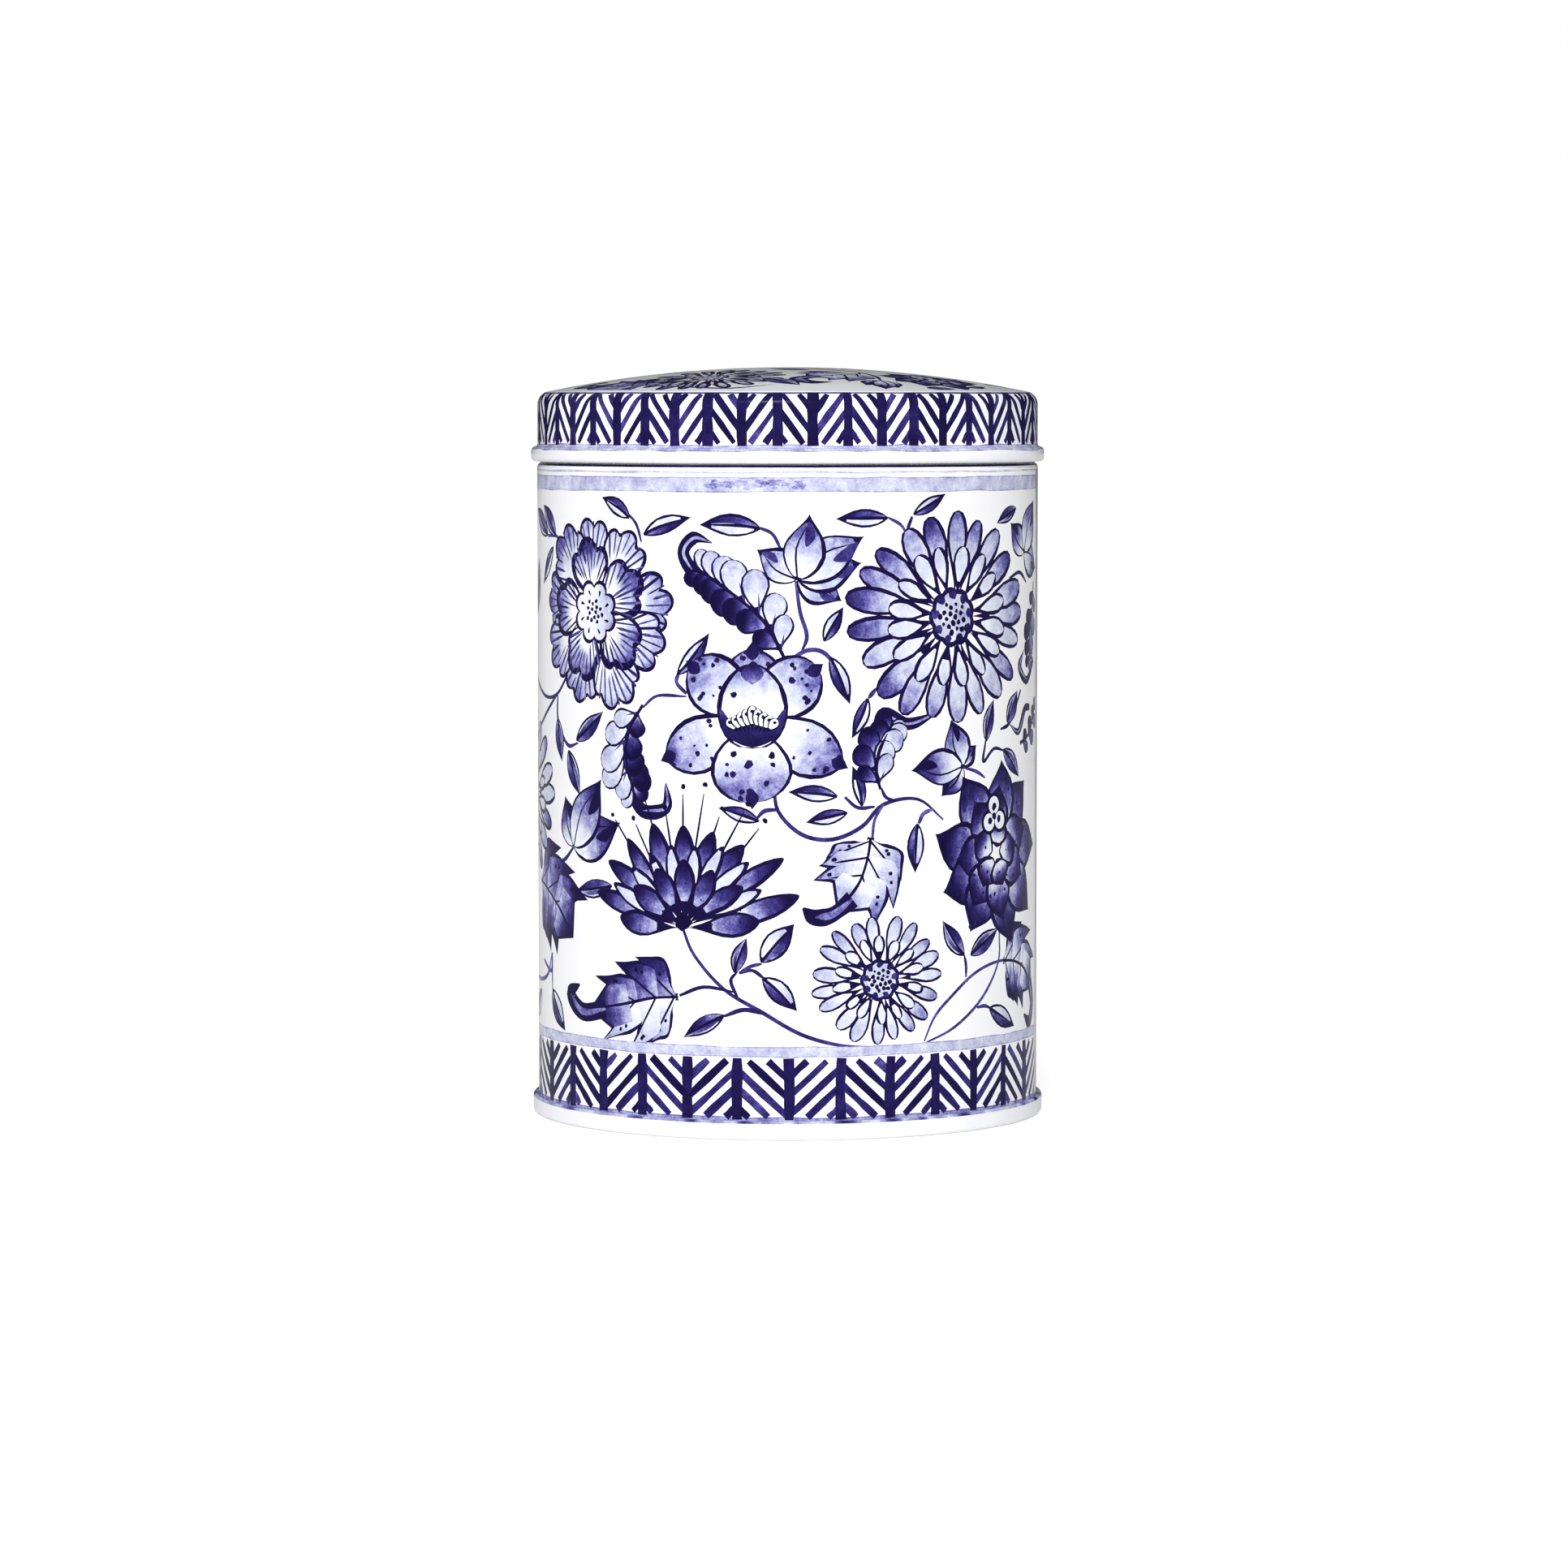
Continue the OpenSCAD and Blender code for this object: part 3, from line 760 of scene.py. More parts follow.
    feather(d, [p(0, 69.8), p(-3.4, 76), p(-8, 80), p(-12, 82.6)], 7.4, 1,
            [p(-10.6, 80.4), p(-13.8, 82.8), p(-15.7, 86), p(-14, 88.2), p(-11.2, 87.5)], 7)
    feather(d, [p(-22.6, 63.6), p(-25, 60), p(-25.8, 56), p(-24.6, 51.6)], 7.2, 1,
            [p(-25.2, 51.6), p(-22.6, 48), p(-18.6, 48.6), p(-18.6, 52.2)], 6)
    feather(d, [p(13.9, 51.4), p(13.2, 54), p(13.7, 57), p(15, 59.6)], 6.4, 1,
            [p(13.2, 59.6), p(14.4, 62.6), p(18.4, 60.9), p(23.6, 62.5)], 5)
    feather(d, [p(51, 81), p(50, 77), p(48.6, 73.6), p(48, 69.8)], 5.0, -1,
            [p(50.8, 69.4), p(47, 66.3), p(43.8, 68.4), p(45.6, 71)], 5, (0.9, 1.0), (0.3, 0.6))
    lobed(d, [p(12.4, 44.4), p(11.8, 41), p(10.4, 37.4), p(7.6, 33.8)], 9.6,
          [p(9.6, 35.4), p(6.6, 33.2), p(4, 32.8), p(2.2, 34.2)], 0.42)
    lobed(d, [p(-16.6, 20.8), p(-21, 20.4), p(-26.4, 19.2), p(-33, 18)], 9.4,
          [p(-30, 18.2), p(-35.4, 17.4), p(-38.8, 19.8), p(-36.2, 21.4)], 0.92, 1)
    lobed(d, [p(-52, 36), p(-47, 34.6), p(-42, 32), p(-38.4, 28.6)], 11.6, None, 0.9)
    lobed(d, [p(38.4, 24.8), p(42, 24.4), p(46, 23), p(49.6, 20)], 8.8,
          [p(49, 20.8), p(50.6, 17.4), p(48.8, 14.6), p(46, 16)], 0.8)
    feather(d, [p(44, 57), p(47.2, 57.8), p(50, 59.6), p(52, 61.8)], 4.4, 1,
            [p(48.6, 62.2), p(46, 62), p(43.4, 58.8), p(40.2, 60)], 4, (0.9, 1.0), (0.4, 0.8))

    daisy(d, p(-58.5, 49), 14.5, 17, 3.6, 0.8, 0.5)
    peony(d, p(-32.4, 77), 14.8, 12)
    daisy(d, p(26.4, 76.4), 17.6, 21, 4.1, 0.85, 0.5)
    broad_flower(d, p(-5.2, 61.8), 10.2)
    lotus(d, p(-15.8, 31), 15.6)
    dark_flower(d, p(36.2, 41), 13.4, 4)
    daisy(d, p(13.9, 23.4), 10.6, 19, 2.9, 0.5, 0.32, 0.9)


# %% Draw the wall
SEAM_ANGLE = math.radians(85)
SEAM_AT = SEAM_ANGLE * WALL_R
SEAM_START = SEAM_AT - ROUND
MARGIN = 3.3
BORDER_PITCH = 7.67
MOTTLES = 44
BARE = -1.0
WALL_LOW = foot_bend_z
WALL_HIGH = SHOULDER_Z - step_half_h

wall_art = Drawing(7)
garden(wall_art)
garden(wall_art, -ROUND / 2)
washed_band(wall_art, SEAM_START, SEAM_AT, 94.9, 97.1, 0.21, edge=0.12)
for i in range(MOTTLES):
    middle = at(-12 + 14 * i / MOTTLES + wall_art.chance.uniform(-1, 1),
                wall_art.chance.uniform(95.4, 96.6))
    around = ring(9) * wall_art.chance.uniform(0.4, 1.1, 9)
    spot = middle + around.real * 0.8 + 1j * around.imag * 0.34
    wall_art.fill(spot, wall_art.chance.uniform(0.3, 0.5))
washed_band(wall_art, SEAM_START, SEAM_AT, 97.65, 97.9, 0.22)
washed_band(wall_art, SEAM_START, SEAM_AT, 12.2, 13.8, 0.2, edge=0.12)
washed_band(wall_art, SEAM_START, SEAM_AT, 1.2, 3.4, 0.36, edge=0.14)
herringbone(wall_art, 0.2 - 24 * BORDER_PITCH, BORDER_PITCH, bays=31, low=3.0, high=12.1,
            slope=0.93, step=2.75, stem_w=1.7, bar_w=1.12)
for inner, outer in ((SEAM_AT - MARGIN, SEAM_AT + 1), (SEAM_START + MARGIN, SEAM_START - 1)):
    z = np.linspace(1.0, WALL_HIGH - 0.1, 60)
    ragged = inner + wall_art.chance.uniform(-0.25, 0.25, len(z)) + 1j * z
    wall_art.fill(np.concatenate([ragged, [outer + 1j * z[-1], outer + 1j * z[0]]]), BARE)
print("outlines on the wall:", len(wall_art.shapes))

# %% [markdown]
# ## The lid's picture
# The lid is printed as a round blank before it is drawn into shape, so its border wraps over the
# shoulder. It is drawn here as a straight strip whose height is measured along the metal, and the
# top of the dome is drawn as a disc seen from above, with the front of the tin at the bottom.

# %% Draw the lid
LID_STEMS = 46
lid_pitch = ROUND / LID_STEMS
BORDER_TOP = turn_z + 2.15

lid_art = Drawing(11)
washed_band(lid_art, -ROUND / 2, ROUND / 2, 100.35, 101.75, 0.24, 0.16, edge=0.12)
washed_band(lid_art, -ROUND / 2, ROUND / 2, BORDER_TOP - 0.35, BORDER_TOP + 0.1, 0.55, 0.06,
            edge=0.2)
first_stem = 3.7 - 26 * lid_pitch
herringbone(lid_art, first_stem, lid_pitch, bays=LID_STEMS + 4, low=101.6, high=BORDER_TOP,
            slope=1.38, step=3.15, stem_w=1.6, bar_w=0.96, shortest=9, around=LID_STEMS)
print("outlines on the lid's skirt:", len(lid_art.shapes))


# %% Draw the top of the dome
def crown(d):
    """Flowers round the dome, with leaves between them. The numbers are millimetres from its middle."""
    daisy(d, at(-11.5, -21.5), 11.2, 19, 2.8, 0.85, 0.5, 1.0)
    dark_flower(d, at(21.6, -16.5), 8.6, 30)
    peony(d, at(-23, 6), 11.4, 30)
    broad_flower(d, at(5.5, 22), 8.4, -40)
    daisy(d, at(25.5, 7), 8.2, 15, 2.4, 0.6, 0.34, 1.0)
    daisy(d, at(8.2, -2), 5.6, 13, 1.8, 0.5, 0.26, 1.0)
    lotus(d, at(-3.5, 1.5), 10.5, 8)
    lobed(d, [at(-20.5, -24), at(-23.5, -22), at(-26.5, -19), at(-29.4, -14.5)], 9.0,
          [at(-28.4, -16.5), at(-30.6, -12.6), at(-28.6, -10.4), at(-27, -12.4)], 0.85)
    lobed(d, [at(10.6, -17), at(8, -19.6), at(5.6, -21.4), at(3.2, -23)], 9.0,
          [at(4.2, -22.2), at(1.6, -25.4), at(3.2, -28.6), at(6.6, -28.2)], 0.5)
    ivy(d, at(13.8, -24), [at(11.4, -29.6), at(16.4, -29.8), at(14.4, -31.8)], 4.4, 0.95)
    ivy(d, at(-9.5, 24), [at(-16, 28), at(-11, 31.5), at(-15.6, 22.5)], 5.4, 0.6)
    ivy(d, at(22.5, 20), [at(27.5, 19), at(21.6, 27.5), at(27, 23.6)], 5.0, 0.8)
    lobed(d, [at(-11, 11), at(-9, 14.5), at(-6.5, 17), at(-3.5, 18.5)], 6.6, None, 0.5)
    for vine in ((at(13.8, -24), at(13, -19), at(10.4, -14), at(5, -10)),
                 (at(10.6, -17), at(10.4, -14), at(5, -10), at(-1, -3)),
                 (at(-20.5, -24), at(-17, -28), at(-9, -33), at(-2, -31))):
        brush(d, vine, 0.6, 0.8, steps=5)
    for base, tip, width, dark in (
            ((-3.6, -25), (1.8, -31.6), 4.0, 0.95), ((-2.5, -9.5), (3.6, -13.6), 3.6, 0.95),
            ((26.6, -20.6), (29.4, -15.6), 3.0, 0.6), ((20.6, -27.4), (25, -24.2), 2.8, 0.8),
            ((-31.5, -6), (-33.5, -0.5), 2.8, 0.8), ((30, -9), (33.4, -3), 2.8, 0.8),
            ((13.5, -5), (17, 0.6), 3.2, 0.6), ((9.5, 5), (14.5, 9.5), 3.0, 0.5),
            ((-14, -5), (-19.5, -7.6), 3.0, 0.8), ((-21, 21), (-25.5, 24.6), 3.0, 0.7),
            ((-2, 30), (-8.5, 33.5), 3.0, 0.5), ((15, 30), (20.5, 27.6), 2.8, 0.8)):
        leaf(d, at(*base), at(*tip), width, dark)


PRINTED_R = 35.4
top_art = Drawing(23, 1.25)
crown(top_art)
for outline, *_ in top_art.shapes:
    far = np.abs(outline) > PRINTED_R
    outline[far] *= PRINTED_R / np.abs(outline[far])
print("outlines on the dome:", len(top_art.shapes))

# %% [markdown]
# ## From outlines to ink on a mesh
# The print isn't an image file here. Instead every outline becomes edges of the mesh: a constrained
# triangulation joins all outlines and the lines where the sheet will bend, and each triangle then asks
# which outline was painted last over its middle. The answer is stored as a number at each corner, the
# ink, and the material turns ink into colour. The result stays sharp at any distance.

# %% Triangulate a drawing
def inside(points, outline):
    """True for each point that the outline winds round."""
    x, y = points.real[:, None], points.imag[:, None]
    nxt = np.roll(outline, -1)
    x0, y0, x1, y1 = outline.real, outline.imag, nxt.real, nxt.imag
    side = (x1 - x0) * (y - y0) - (x - x0) * (y1 - y0)
    up = (y0 <= y) & (y1 > y) & (side > 0)
    down = (y0 > y) & (y1 <= y) & (side < 0)
    return up.sum(1) != down.sum(1)


def inked_triangles(drawing, lines):
    """Flat points, triangles and the ink at each corner. lines are extra polylines to keep."""
    points, edges = [], []
    for line in lines:
        first = len(points)
        points.extend(line)
        edges.extend((first + i, first + i + 1) for i in range(len(line) - 1))
    for shape in drawing.shapes:
        first, count = len(points), len(shape[0])
        points.extend(shape[0])
        edges.extend((first + i, first + (i + 1) % count) for i in range(count))
    flat = [Vector((p.real, p.imag)) for p in points]
    flat, _, faces, *_ = delaunay_2d_cdt(flat, edges, [], 0, 1e-4, False)
    place = np.array([complex(*v) for v in flat])
    faces = np.array([f for f in faces if len(f) == 3])
    middle = place[faces].mean(1)
    order = np.argsort(middle.real)
    faces, middle = faces[order], middle[order]

    owner = np.full(len(faces), -1)
    for number, shape in enumerate(drawing.shapes):
        outline = shape[0]
        low, high = np.searchsorted(middle.real, (outline.real.min(), outline.real.max()))
        near = np.arange(low, high)
        rows = middle.imag[near]
        near = near[(rows > outline.imag.min()) & (rows < outline.imag.max())]
        if len(near):
            owner[near[inside(middle[near], outline)]] = number

    ink = np.zeros(faces.shape)
    inked = np.flatnonzero(owner >= 0)
    first, last, base, tip, start, end = (
        np.array([shape[k] for shape in drawing.shapes])[owner[inked]][:, None] for k in range(1, 7))
    along = ((place[faces[inked]] - base) * np.conj(tip - base)).real / np.abs(tip - base) ** 2
    share = np.clip((along - start) / (end - start), 0, 1)
    ink[inked] = first + (last - first) * share
    return place, faces, ink


# %% [markdown]
# ## Turning sheets into closed meshes
# Each piece is one closed skin: the outer face, the inner face and the two raw edges of the sheet.
# The plain parts are turned on a lathe from the profile. The printed parts take their triangles from
# the drawing and are wrapped round the same profile, so both meet vertex to vertex and weld.
# Normals come from the profile too, which keeps reflections smooth across the many small triangles.

# %% The shell that collects faces
FINISHES = ("print", "enamel", "tinplate")


class Shell:
    """Faces given by their corners, with a normal, a place on the flat sheet and ink at each corner."""

    def __init__(self, start):
        self.start = start
        self.parts = []

    def add(self, corners, normals, uv, finish, ink=None):
        ink = np.zeros(corners.shape[:2]) if ink is None else ink
        finish = np.full(len(corners), FINISHES.index(finish)) if isinstance(finish, str) else finish
        self.parts.append((corners, normals, uv, ink, finish))

    def angles(self):
        return self.start + 2 * math.pi * np.arange(SEGMENTS + 1) / SEGMENTS

    def turned(self, loop, first, last, finish, uv_box, ink=None):
        """Turns the loop's points from first to last round the axis. Faces look to the left of travel.

        ink is a table of amounts: a row for each point of the run, a column for each step round."""
        points, normals = loop[first:last + 1], run_normals(loop)[first:last]
        a = self.angles()
        a[-1] = a[0]
        outwards = np.stack([np.sin(a), -np.cos(a)], 1)
        lengths = np.append(0, np.cumsum(np.linalg.norm(np.diff(points, axis=0), axis=1)))
        u = uv_box[0] + (uv_box[2] - uv_box[0]) * np.linspace(0, 1, SEGMENTS + 1)
        v = uv_box[1] + (uv_box[3] - uv_box[1]) * lengths / lengths[-1]
        for j in range(len(points) - 1):
            picks = ((j, 0, 0), (j + 1, 0, 1), (j + 1, 1, 1), (j, 1, 0))
            if points[j][0] < 1e-6:
                picks = picks[:3]
            elif points[j + 1][0] < 1e-6:
                picks = (picks[0], picks[1], picks[3])
            corners, directions, places, inks = [], [], [], []
            for row, over, which in picks:
                inks.append(np.zeros(SEGMENTS) if ink is None else np.roll(ink[row], -over))
                direction = outwards[over:SEGMENTS + over]
                r, z = points[row]
                nr, nz = normals[j][which]
                corners.append(np.column_stack([direction * r, np.full(SEGMENTS, z)]))
                directions.append(np.column_stack([direction * nr, np.full(SEGMENTS, nz)]))
                places.append(np.column_stack([u[over:SEGMENTS + over], np.full(SEGMENTS, v[row])]))
            self.add(np.stack(corners, 1), np.stack(directions, 1), np.stack(places, 1), finish,
                     np.stack(inks, 1))

    def build(self, name, materials):
        """Welds the corners and makes the mesh object."""
        corners = np.concatenate([part[0].reshape(-1, 3) for part in self.parts])
        sizes = np.concatenate([np.full(len(p[0]), p[0].shape[1]) for p in self.parts])
        _, places, index = np.unique(np.round(corners, 4), axis=0, return_index=True,
                                     return_inverse=True)
        index = index.ravel()
        starts = np.append(0, np.cumsum(sizes))[:-1]
        finish = np.concatenate([p[4] for p in self.parts])
        face_of = np.repeat(np.arange(len(sizes)), sizes)
        after = np.arange(len(corners)) + 1
        after[starts + sizes - 1] = starts
        flat_face = np.zeros(len(sizes), bool)
        np.logical_or.at(flat_face, face_of, index == index[after])
        keep = ~flat_face[face_of]

        mesh = bpy.data.meshes.new(name)
        used, loops = np.unique(index[keep], return_inverse=True)
        mesh.vertices.add(len(used))
        mesh.vertices.foreach_set("co", (corners[places[used]] * MM).ravel())
        sizes, finish = sizes[~flat_face], finish[~flat_face]
        mesh.loops.add(len(loops))
        mesh.loops.foreach_set("vertex_index", loops.ravel())
        mesh.polygons.add(len(sizes))
        mesh.polygons.foreach_set("loop_start", np.append(0, np.cumsum(sizes))[:-1])
        mesh.polygons.foreach_set("material_index", finish)
        mesh.update(calc_edges=True)
        sheet = mesh.uv_layers.new(name="OFBake")
        uv = np.concatenate([p[2].reshape(-1, 2) for p in self.parts])[keep]
        sheet.uv.foreach_set("vector", uv.ravel())
        ink = mesh.attributes.new("ink", "FLOAT", "CORNER")
        ink.data.foreach_set("value", np.concatenate([p[3].ravel() for p in self.parts])[keep])
        normals = np.concatenate([p[1].reshape(-1, 3) for p in self.parts])[keep]
        mesh.normals_split_custom_set(normals.tolist())
        for material in materials:
            mesh.materials.append(material)
        piece = bpy.data.objects.new(name, mesh)
        bpy.context.scene.collection.objects.link(piece)
        edge_uses = np.zeros(len(mesh.edges), int)
        edges = np.zeros(len(loops), int)
        mesh.loops.foreach_get("edge_index", edges)
        np.add.at(edge_uses, edges, 1)
        print(name, "faces", len(sizes), "edges not shared by two faces", int((edge_uses != 2).sum()))
        return piece


# %% [markdown]
# ## Corners of the profile
# A lathe needs a normal at every bend. Where two runs meet at less than forty degrees they are one
# bend, and share a normal. Where they meet more sharply, as at a cut edge, each keeps its own.

# %% Normals along a profile
def section(path):
    """The closed outline of a sheet: its left face forward, then its right face back."""
    left, right = sheet_side(path, HALF), sheet_side(path, -HALF)
    return left, right[::-1]


def run_normals(points):
    """For each run between two points, the normal at its start and at its end."""
    steps = np.diff(points, axis=0)
    square = np.stack([-steps[:, 1], steps[:, 0]], 1)
    square /= np.linalg.norm(square, axis=1)[:, None]
    normals = np.stack([square, square], 1)
    smooth = (square[1:] * square[:-1]).sum(1) > math.cos(math.radians(40))
    shared = square[1:] + square[:-1]
    shared /= np.linalg.norm(shared, axis=1)[:, None]
    normals[:-1, 1][smooth] = shared[smooth]
    normals[1:, 0][smooth] = shared[smooth]
    return normals


def vertex_normals(points):
    """One normal at each point, for a smooth face."""
    normals = run_normals(points)
    return np.vstack([normals[:1, 0], normals[:, 1]])


# %% [markdown]
# ## Wrapping the print
# A flat place on the wall is a distance round and a height along the metal. Both are looked up on the
# profile. Beside the side seam the wrap sinks by the depth of the groove, which is the line where the
# hooked edges of the sheet were pressed together.

# %% Wrap a flat sheet round the profile
GROOVE_DEPTH = 0.08
GROOVE_FLOOR = 0.05
GROOVE_SIDE = 0.2
LAP_H = 5
LAP_FADE = 0.3
SNAP = 5e-4


def groove(across, height):
    """How far the wall sinks along the side seam, and the slope of that dent round the wall."""
    ends = (np.clip((height - LAP_H + LAP_FADE) / (2 * LAP_FADE), 0, 1)
            * np.clip((SHOULDER_Z - LAP_H + LAP_FADE - height) / (2 * LAP_FADE), 0, 1))
    t = np.clip((np.abs(across) - GROOVE_FLOOR) / GROOVE_SIDE, 0, 1)
    depth = GROOVE_DEPTH * (1 - t * t * (3 - 2 * t)) * ends
    slope = GROOVE_DEPTH * 6 * t * (1 - t) / GROOVE_SIDE * np.sign(across) * ends
    return -depth, slope


def groove_lines(x_left, x_right):
    """Extra upright lines beside both edges of the wall, where the groove bends the metal."""
    low, high = LAP_H - LAP_FADE, SHOULDER_Z - LAP_H + LAP_FADE
    marks = np.concatenate([[low, low + 2 * LAP_FADE], np.arange(8, high - 2, 6),
                            [high - 2 * LAP_FADE, high]])
    return [[complex(x, z) for z in marks]
            for off in (0.07, 0.14, 0.21, 0.3) for x in (x_left + off, x_right - off)]


def crossings(drawing, x_left, x_right, low, high):
    """Where outlines cross one edge of the sheet, as points on the other, so that the edges match."""
    points = []
    for outline, *_ in drawing.shapes:
        nxt = np.roll(outline, -1)
        for x, other in ((x_left, x_right), (x_right, x_left)):
            cut = (outline.real - x) * (nxt.real - x) < 0
            t = (x - outline.real[cut]) / (nxt.real[cut] - outline.real[cut])
            z = outline.imag[cut] + t * (nxt.imag[cut] - outline.imag[cut])
            points += [complex(other, value) for value in z if low < value < high]
    return points


def printed_strip(shell, drawing, x0, rows, profile, heights, uv_at, grooved=False):
    """Adds a drawing to a shell. heights is where each profile point lies on the drawing."""
    columns = x0 + ROUND * np.arange(SEGMENTS + 1) / SEGMENTS
    lines = [[complex(x, z) for x in columns] for z in rows]
    lines += [[complex(x, z) for z in rows] for x in columns]
    if grooved:
        lines += groove_lines(columns[0], columns[-1])
    lines += [[end] for end in crossings(drawing, columns[0], columns[-1], rows[0], rows[-1])]
    place, faces, ink = inked_triangles(drawing, lines)

    x, z = place.real, place.imag
    cell = (x - columns[0]) / ROUND * SEGMENTS
    near = np.abs(cell - np.round(cell)) < SNAP
    cell[near] = np.round(cell[near])
    rows = np.asarray(rows)
    nearest = rows[np.abs(z[:, None] - rows[None, :]).argmin(1)]
    z = np.where(np.abs(z - nearest) < SNAP, nearest, z)
    middle_x, middle_z = cell[faces].mean(1), z[faces].mean(1)
    keep = (middle_x > 0) & (middle_x < SEGMENTS) & (middle_z > rows[0]) & (middle_z < rows[-1])
    faces, ink = faces[keep], ink[keep]

    right = np.flatnonzero(cell == SEGMENTS)
    left = np.flatnonzero(cell == 0)
    left = left[np.argsort(z[left])]
    match = np.searchsorted(z[left], z[right])
    for shift in (-1, 0):
        pick = left[np.clip(match + shift, 0, len(left) - 1)]
        close = np.abs(z[pick] - z[right]) < 1e-3
        z[right[close]] = z[pick[close]]

    a = shell.start + 2 * math.pi * np.where(cell == SEGMENTS, 0, cell) / SEGMENTS
    r = np.interp(z, heights, profile[:, 0])
    up = np.interp(z, heights, profile[:, 1])
    normal = vertex_normals(profile)
    if normal[len(normal) // 2, 0] < 0:
        normal = -normal
    nr = np.interp(z, heights, normal[:, 0])
    nz = np.interp(z, heights, normal[:, 1])
    slope = np.zeros(len(z))
    if grooved:
        across = (cell - SEGMENTS * np.round(cell / SEGMENTS)) * ROUND / SEGMENTS
        sink, slope = groove(across, z)
        r = r + sink
    out = np.stack([np.sin(a), -np.cos(a), np.zeros(len(a))], 1)
    round_ = np.stack([np.cos(a), np.sin(a), np.zeros(len(a))], 1)
    points = out * r[:, None] + np.array([0, 0, 1]) * up[:, None]
    normals = out * nr[:, None] + np.array([0, 0, 1]) * nz[:, None] - round_ * slope[:, None]
    normals /= np.linalg.norm(normals, axis=1)[:, None]
    corners = points[faces]
    facing = np.cross(corners[:, 1] - corners[:, 0], corners[:, 2] - corners[:, 0])
    flipped = (facing * normals[faces].mean(1)).sum(1) < 0
    faces[flipped] = faces[flipped][:, ::-1]
    ink[flipped] = ink[flipped][:, ::-1]
    uv = uv_at(cell[faces], z[faces], cell[faces].mean(1))
    finish = np.where(ink.min(1) < 0, FINISHES.index("tinplate"), FINISHES.index("print"))
    shell.add(points[faces], normals[faces], uv, finish, ink)


# %% [markdown]
# ## Finishes
# Three finishes cover the tin. The print is ink over white enamel; the painter's washes dry unevenly,
# so a cloudy noise moves the ink most in the middle tones and leaves bare enamel and full ink alone.
# The enamel is satin, with the faint orange peel of sprayed and baked lacquer. The inside is bright
# tinplate, whose rolling lines stretch its reflections along the sheet.

# %% Material helpers
def srgb(r, g, b):
    """A colour given as eight-bit screen values, as linear light."""
    values = np.array([r, g, b]) / 255
    light = np.where(values <= 0.04045, values / 12.92, ((values + 0.055) / 1.055) ** 2.4)
    return tuple(light) + (1.0,)


def new_material(name):
    """A material, its nodes, its links and its main shader."""
    material = bpy.data.materials.new(name)
    material.use_nodes = True
    nodes, links = material.node_tree.nodes, material.node_tree.links
    return material, nodes, links, nodes["Principled BSDF"]


def noise(nodes, links, coordinates, scale, detail=4.0, roughness=0.55):
    """Noise with a scale in features to a millimetre."""
    texture = nodes.new("ShaderNodeTexNoise")
    texture.inputs["Scale"].default_value = scale / MM
    texture.inputs["Detail"].default_value = detail
    texture.inputs["Roughness"].default_value = roughness
    links.new(coordinates, texture.inputs["Vector"])
    return texture.outputs["Fac"]


def math_node(nodes, links, operation, *values, clamp=False):
    """One sum on numbers or on the outputs of other nodes."""
    node = nodes.new("ShaderNodeMath")
    node.operation = operation
    node.use_clamp = clamp
    for slot_number, value in enumerate(values):
        if isinstance(value, (int, float)):
            node.inputs[slot_number].default_value = value
        else:
            links.new(value, node.inputs[slot_number])
    return node.outputs[0]


def spread(nodes, links, value, low, high):
    """Maps noise, which lies between about 0.3 and 0.7, to a range."""
    node = nodes.new("ShaderNodeMapRange")
    node.inputs["From Min"].default_value = 0.3
    node.inputs["From Max"].default_value = 0.7
    node.inputs["To Min"].default_value = low
    node.inputs["To Max"].default_value = high
    links.new(value, node.inputs["Value"])
    return node.outputs["Result"]


def bump(nodes, links, shader, height, distance):
    """Makes a surface uneven by a distance in millimetres."""
    node = nodes.new("ShaderNodeBump")
    node.inputs["Distance"].default_value = distance * MM
    links.new(height, node.inputs["Height"])
    links.new(node.outputs["Normal"], shader.inputs["Normal"])


def two_tints(nodes, links, shader, share, first, second):
    """Colours a surface between two tints, by a share that goes from 0 to 1."""
    tint = nodes.new("ShaderNodeMix")
    tint.data_type = "RGBA"
    tint.inputs["A"].default_value = first
    tint.inputs["B"].default_value = second
    links.new(share, tint.inputs["Factor"])
    links.new(tint.outputs["Result"], shader.inputs["Base Color"])


# %% Printed enamel
ENAMEL = (250, 250, 253)
ENAMEL_IOR = 1.45
PEEL_DEPTH = 0.012
INKS = ((0.0, ENAMEL), (0.03, (237, 240, 249)), (0.1, (218, 222, 240)), (0.22, (193, 196, 222)),
        (0.36, (153, 154, 204)), (0.5, (108, 104, 171)), (0.64, (72, 64, 136)),
        (0.78, (48, 40, 106)), (0.9, (32, 23, 81)), (1.0, (19, 11, 54)))


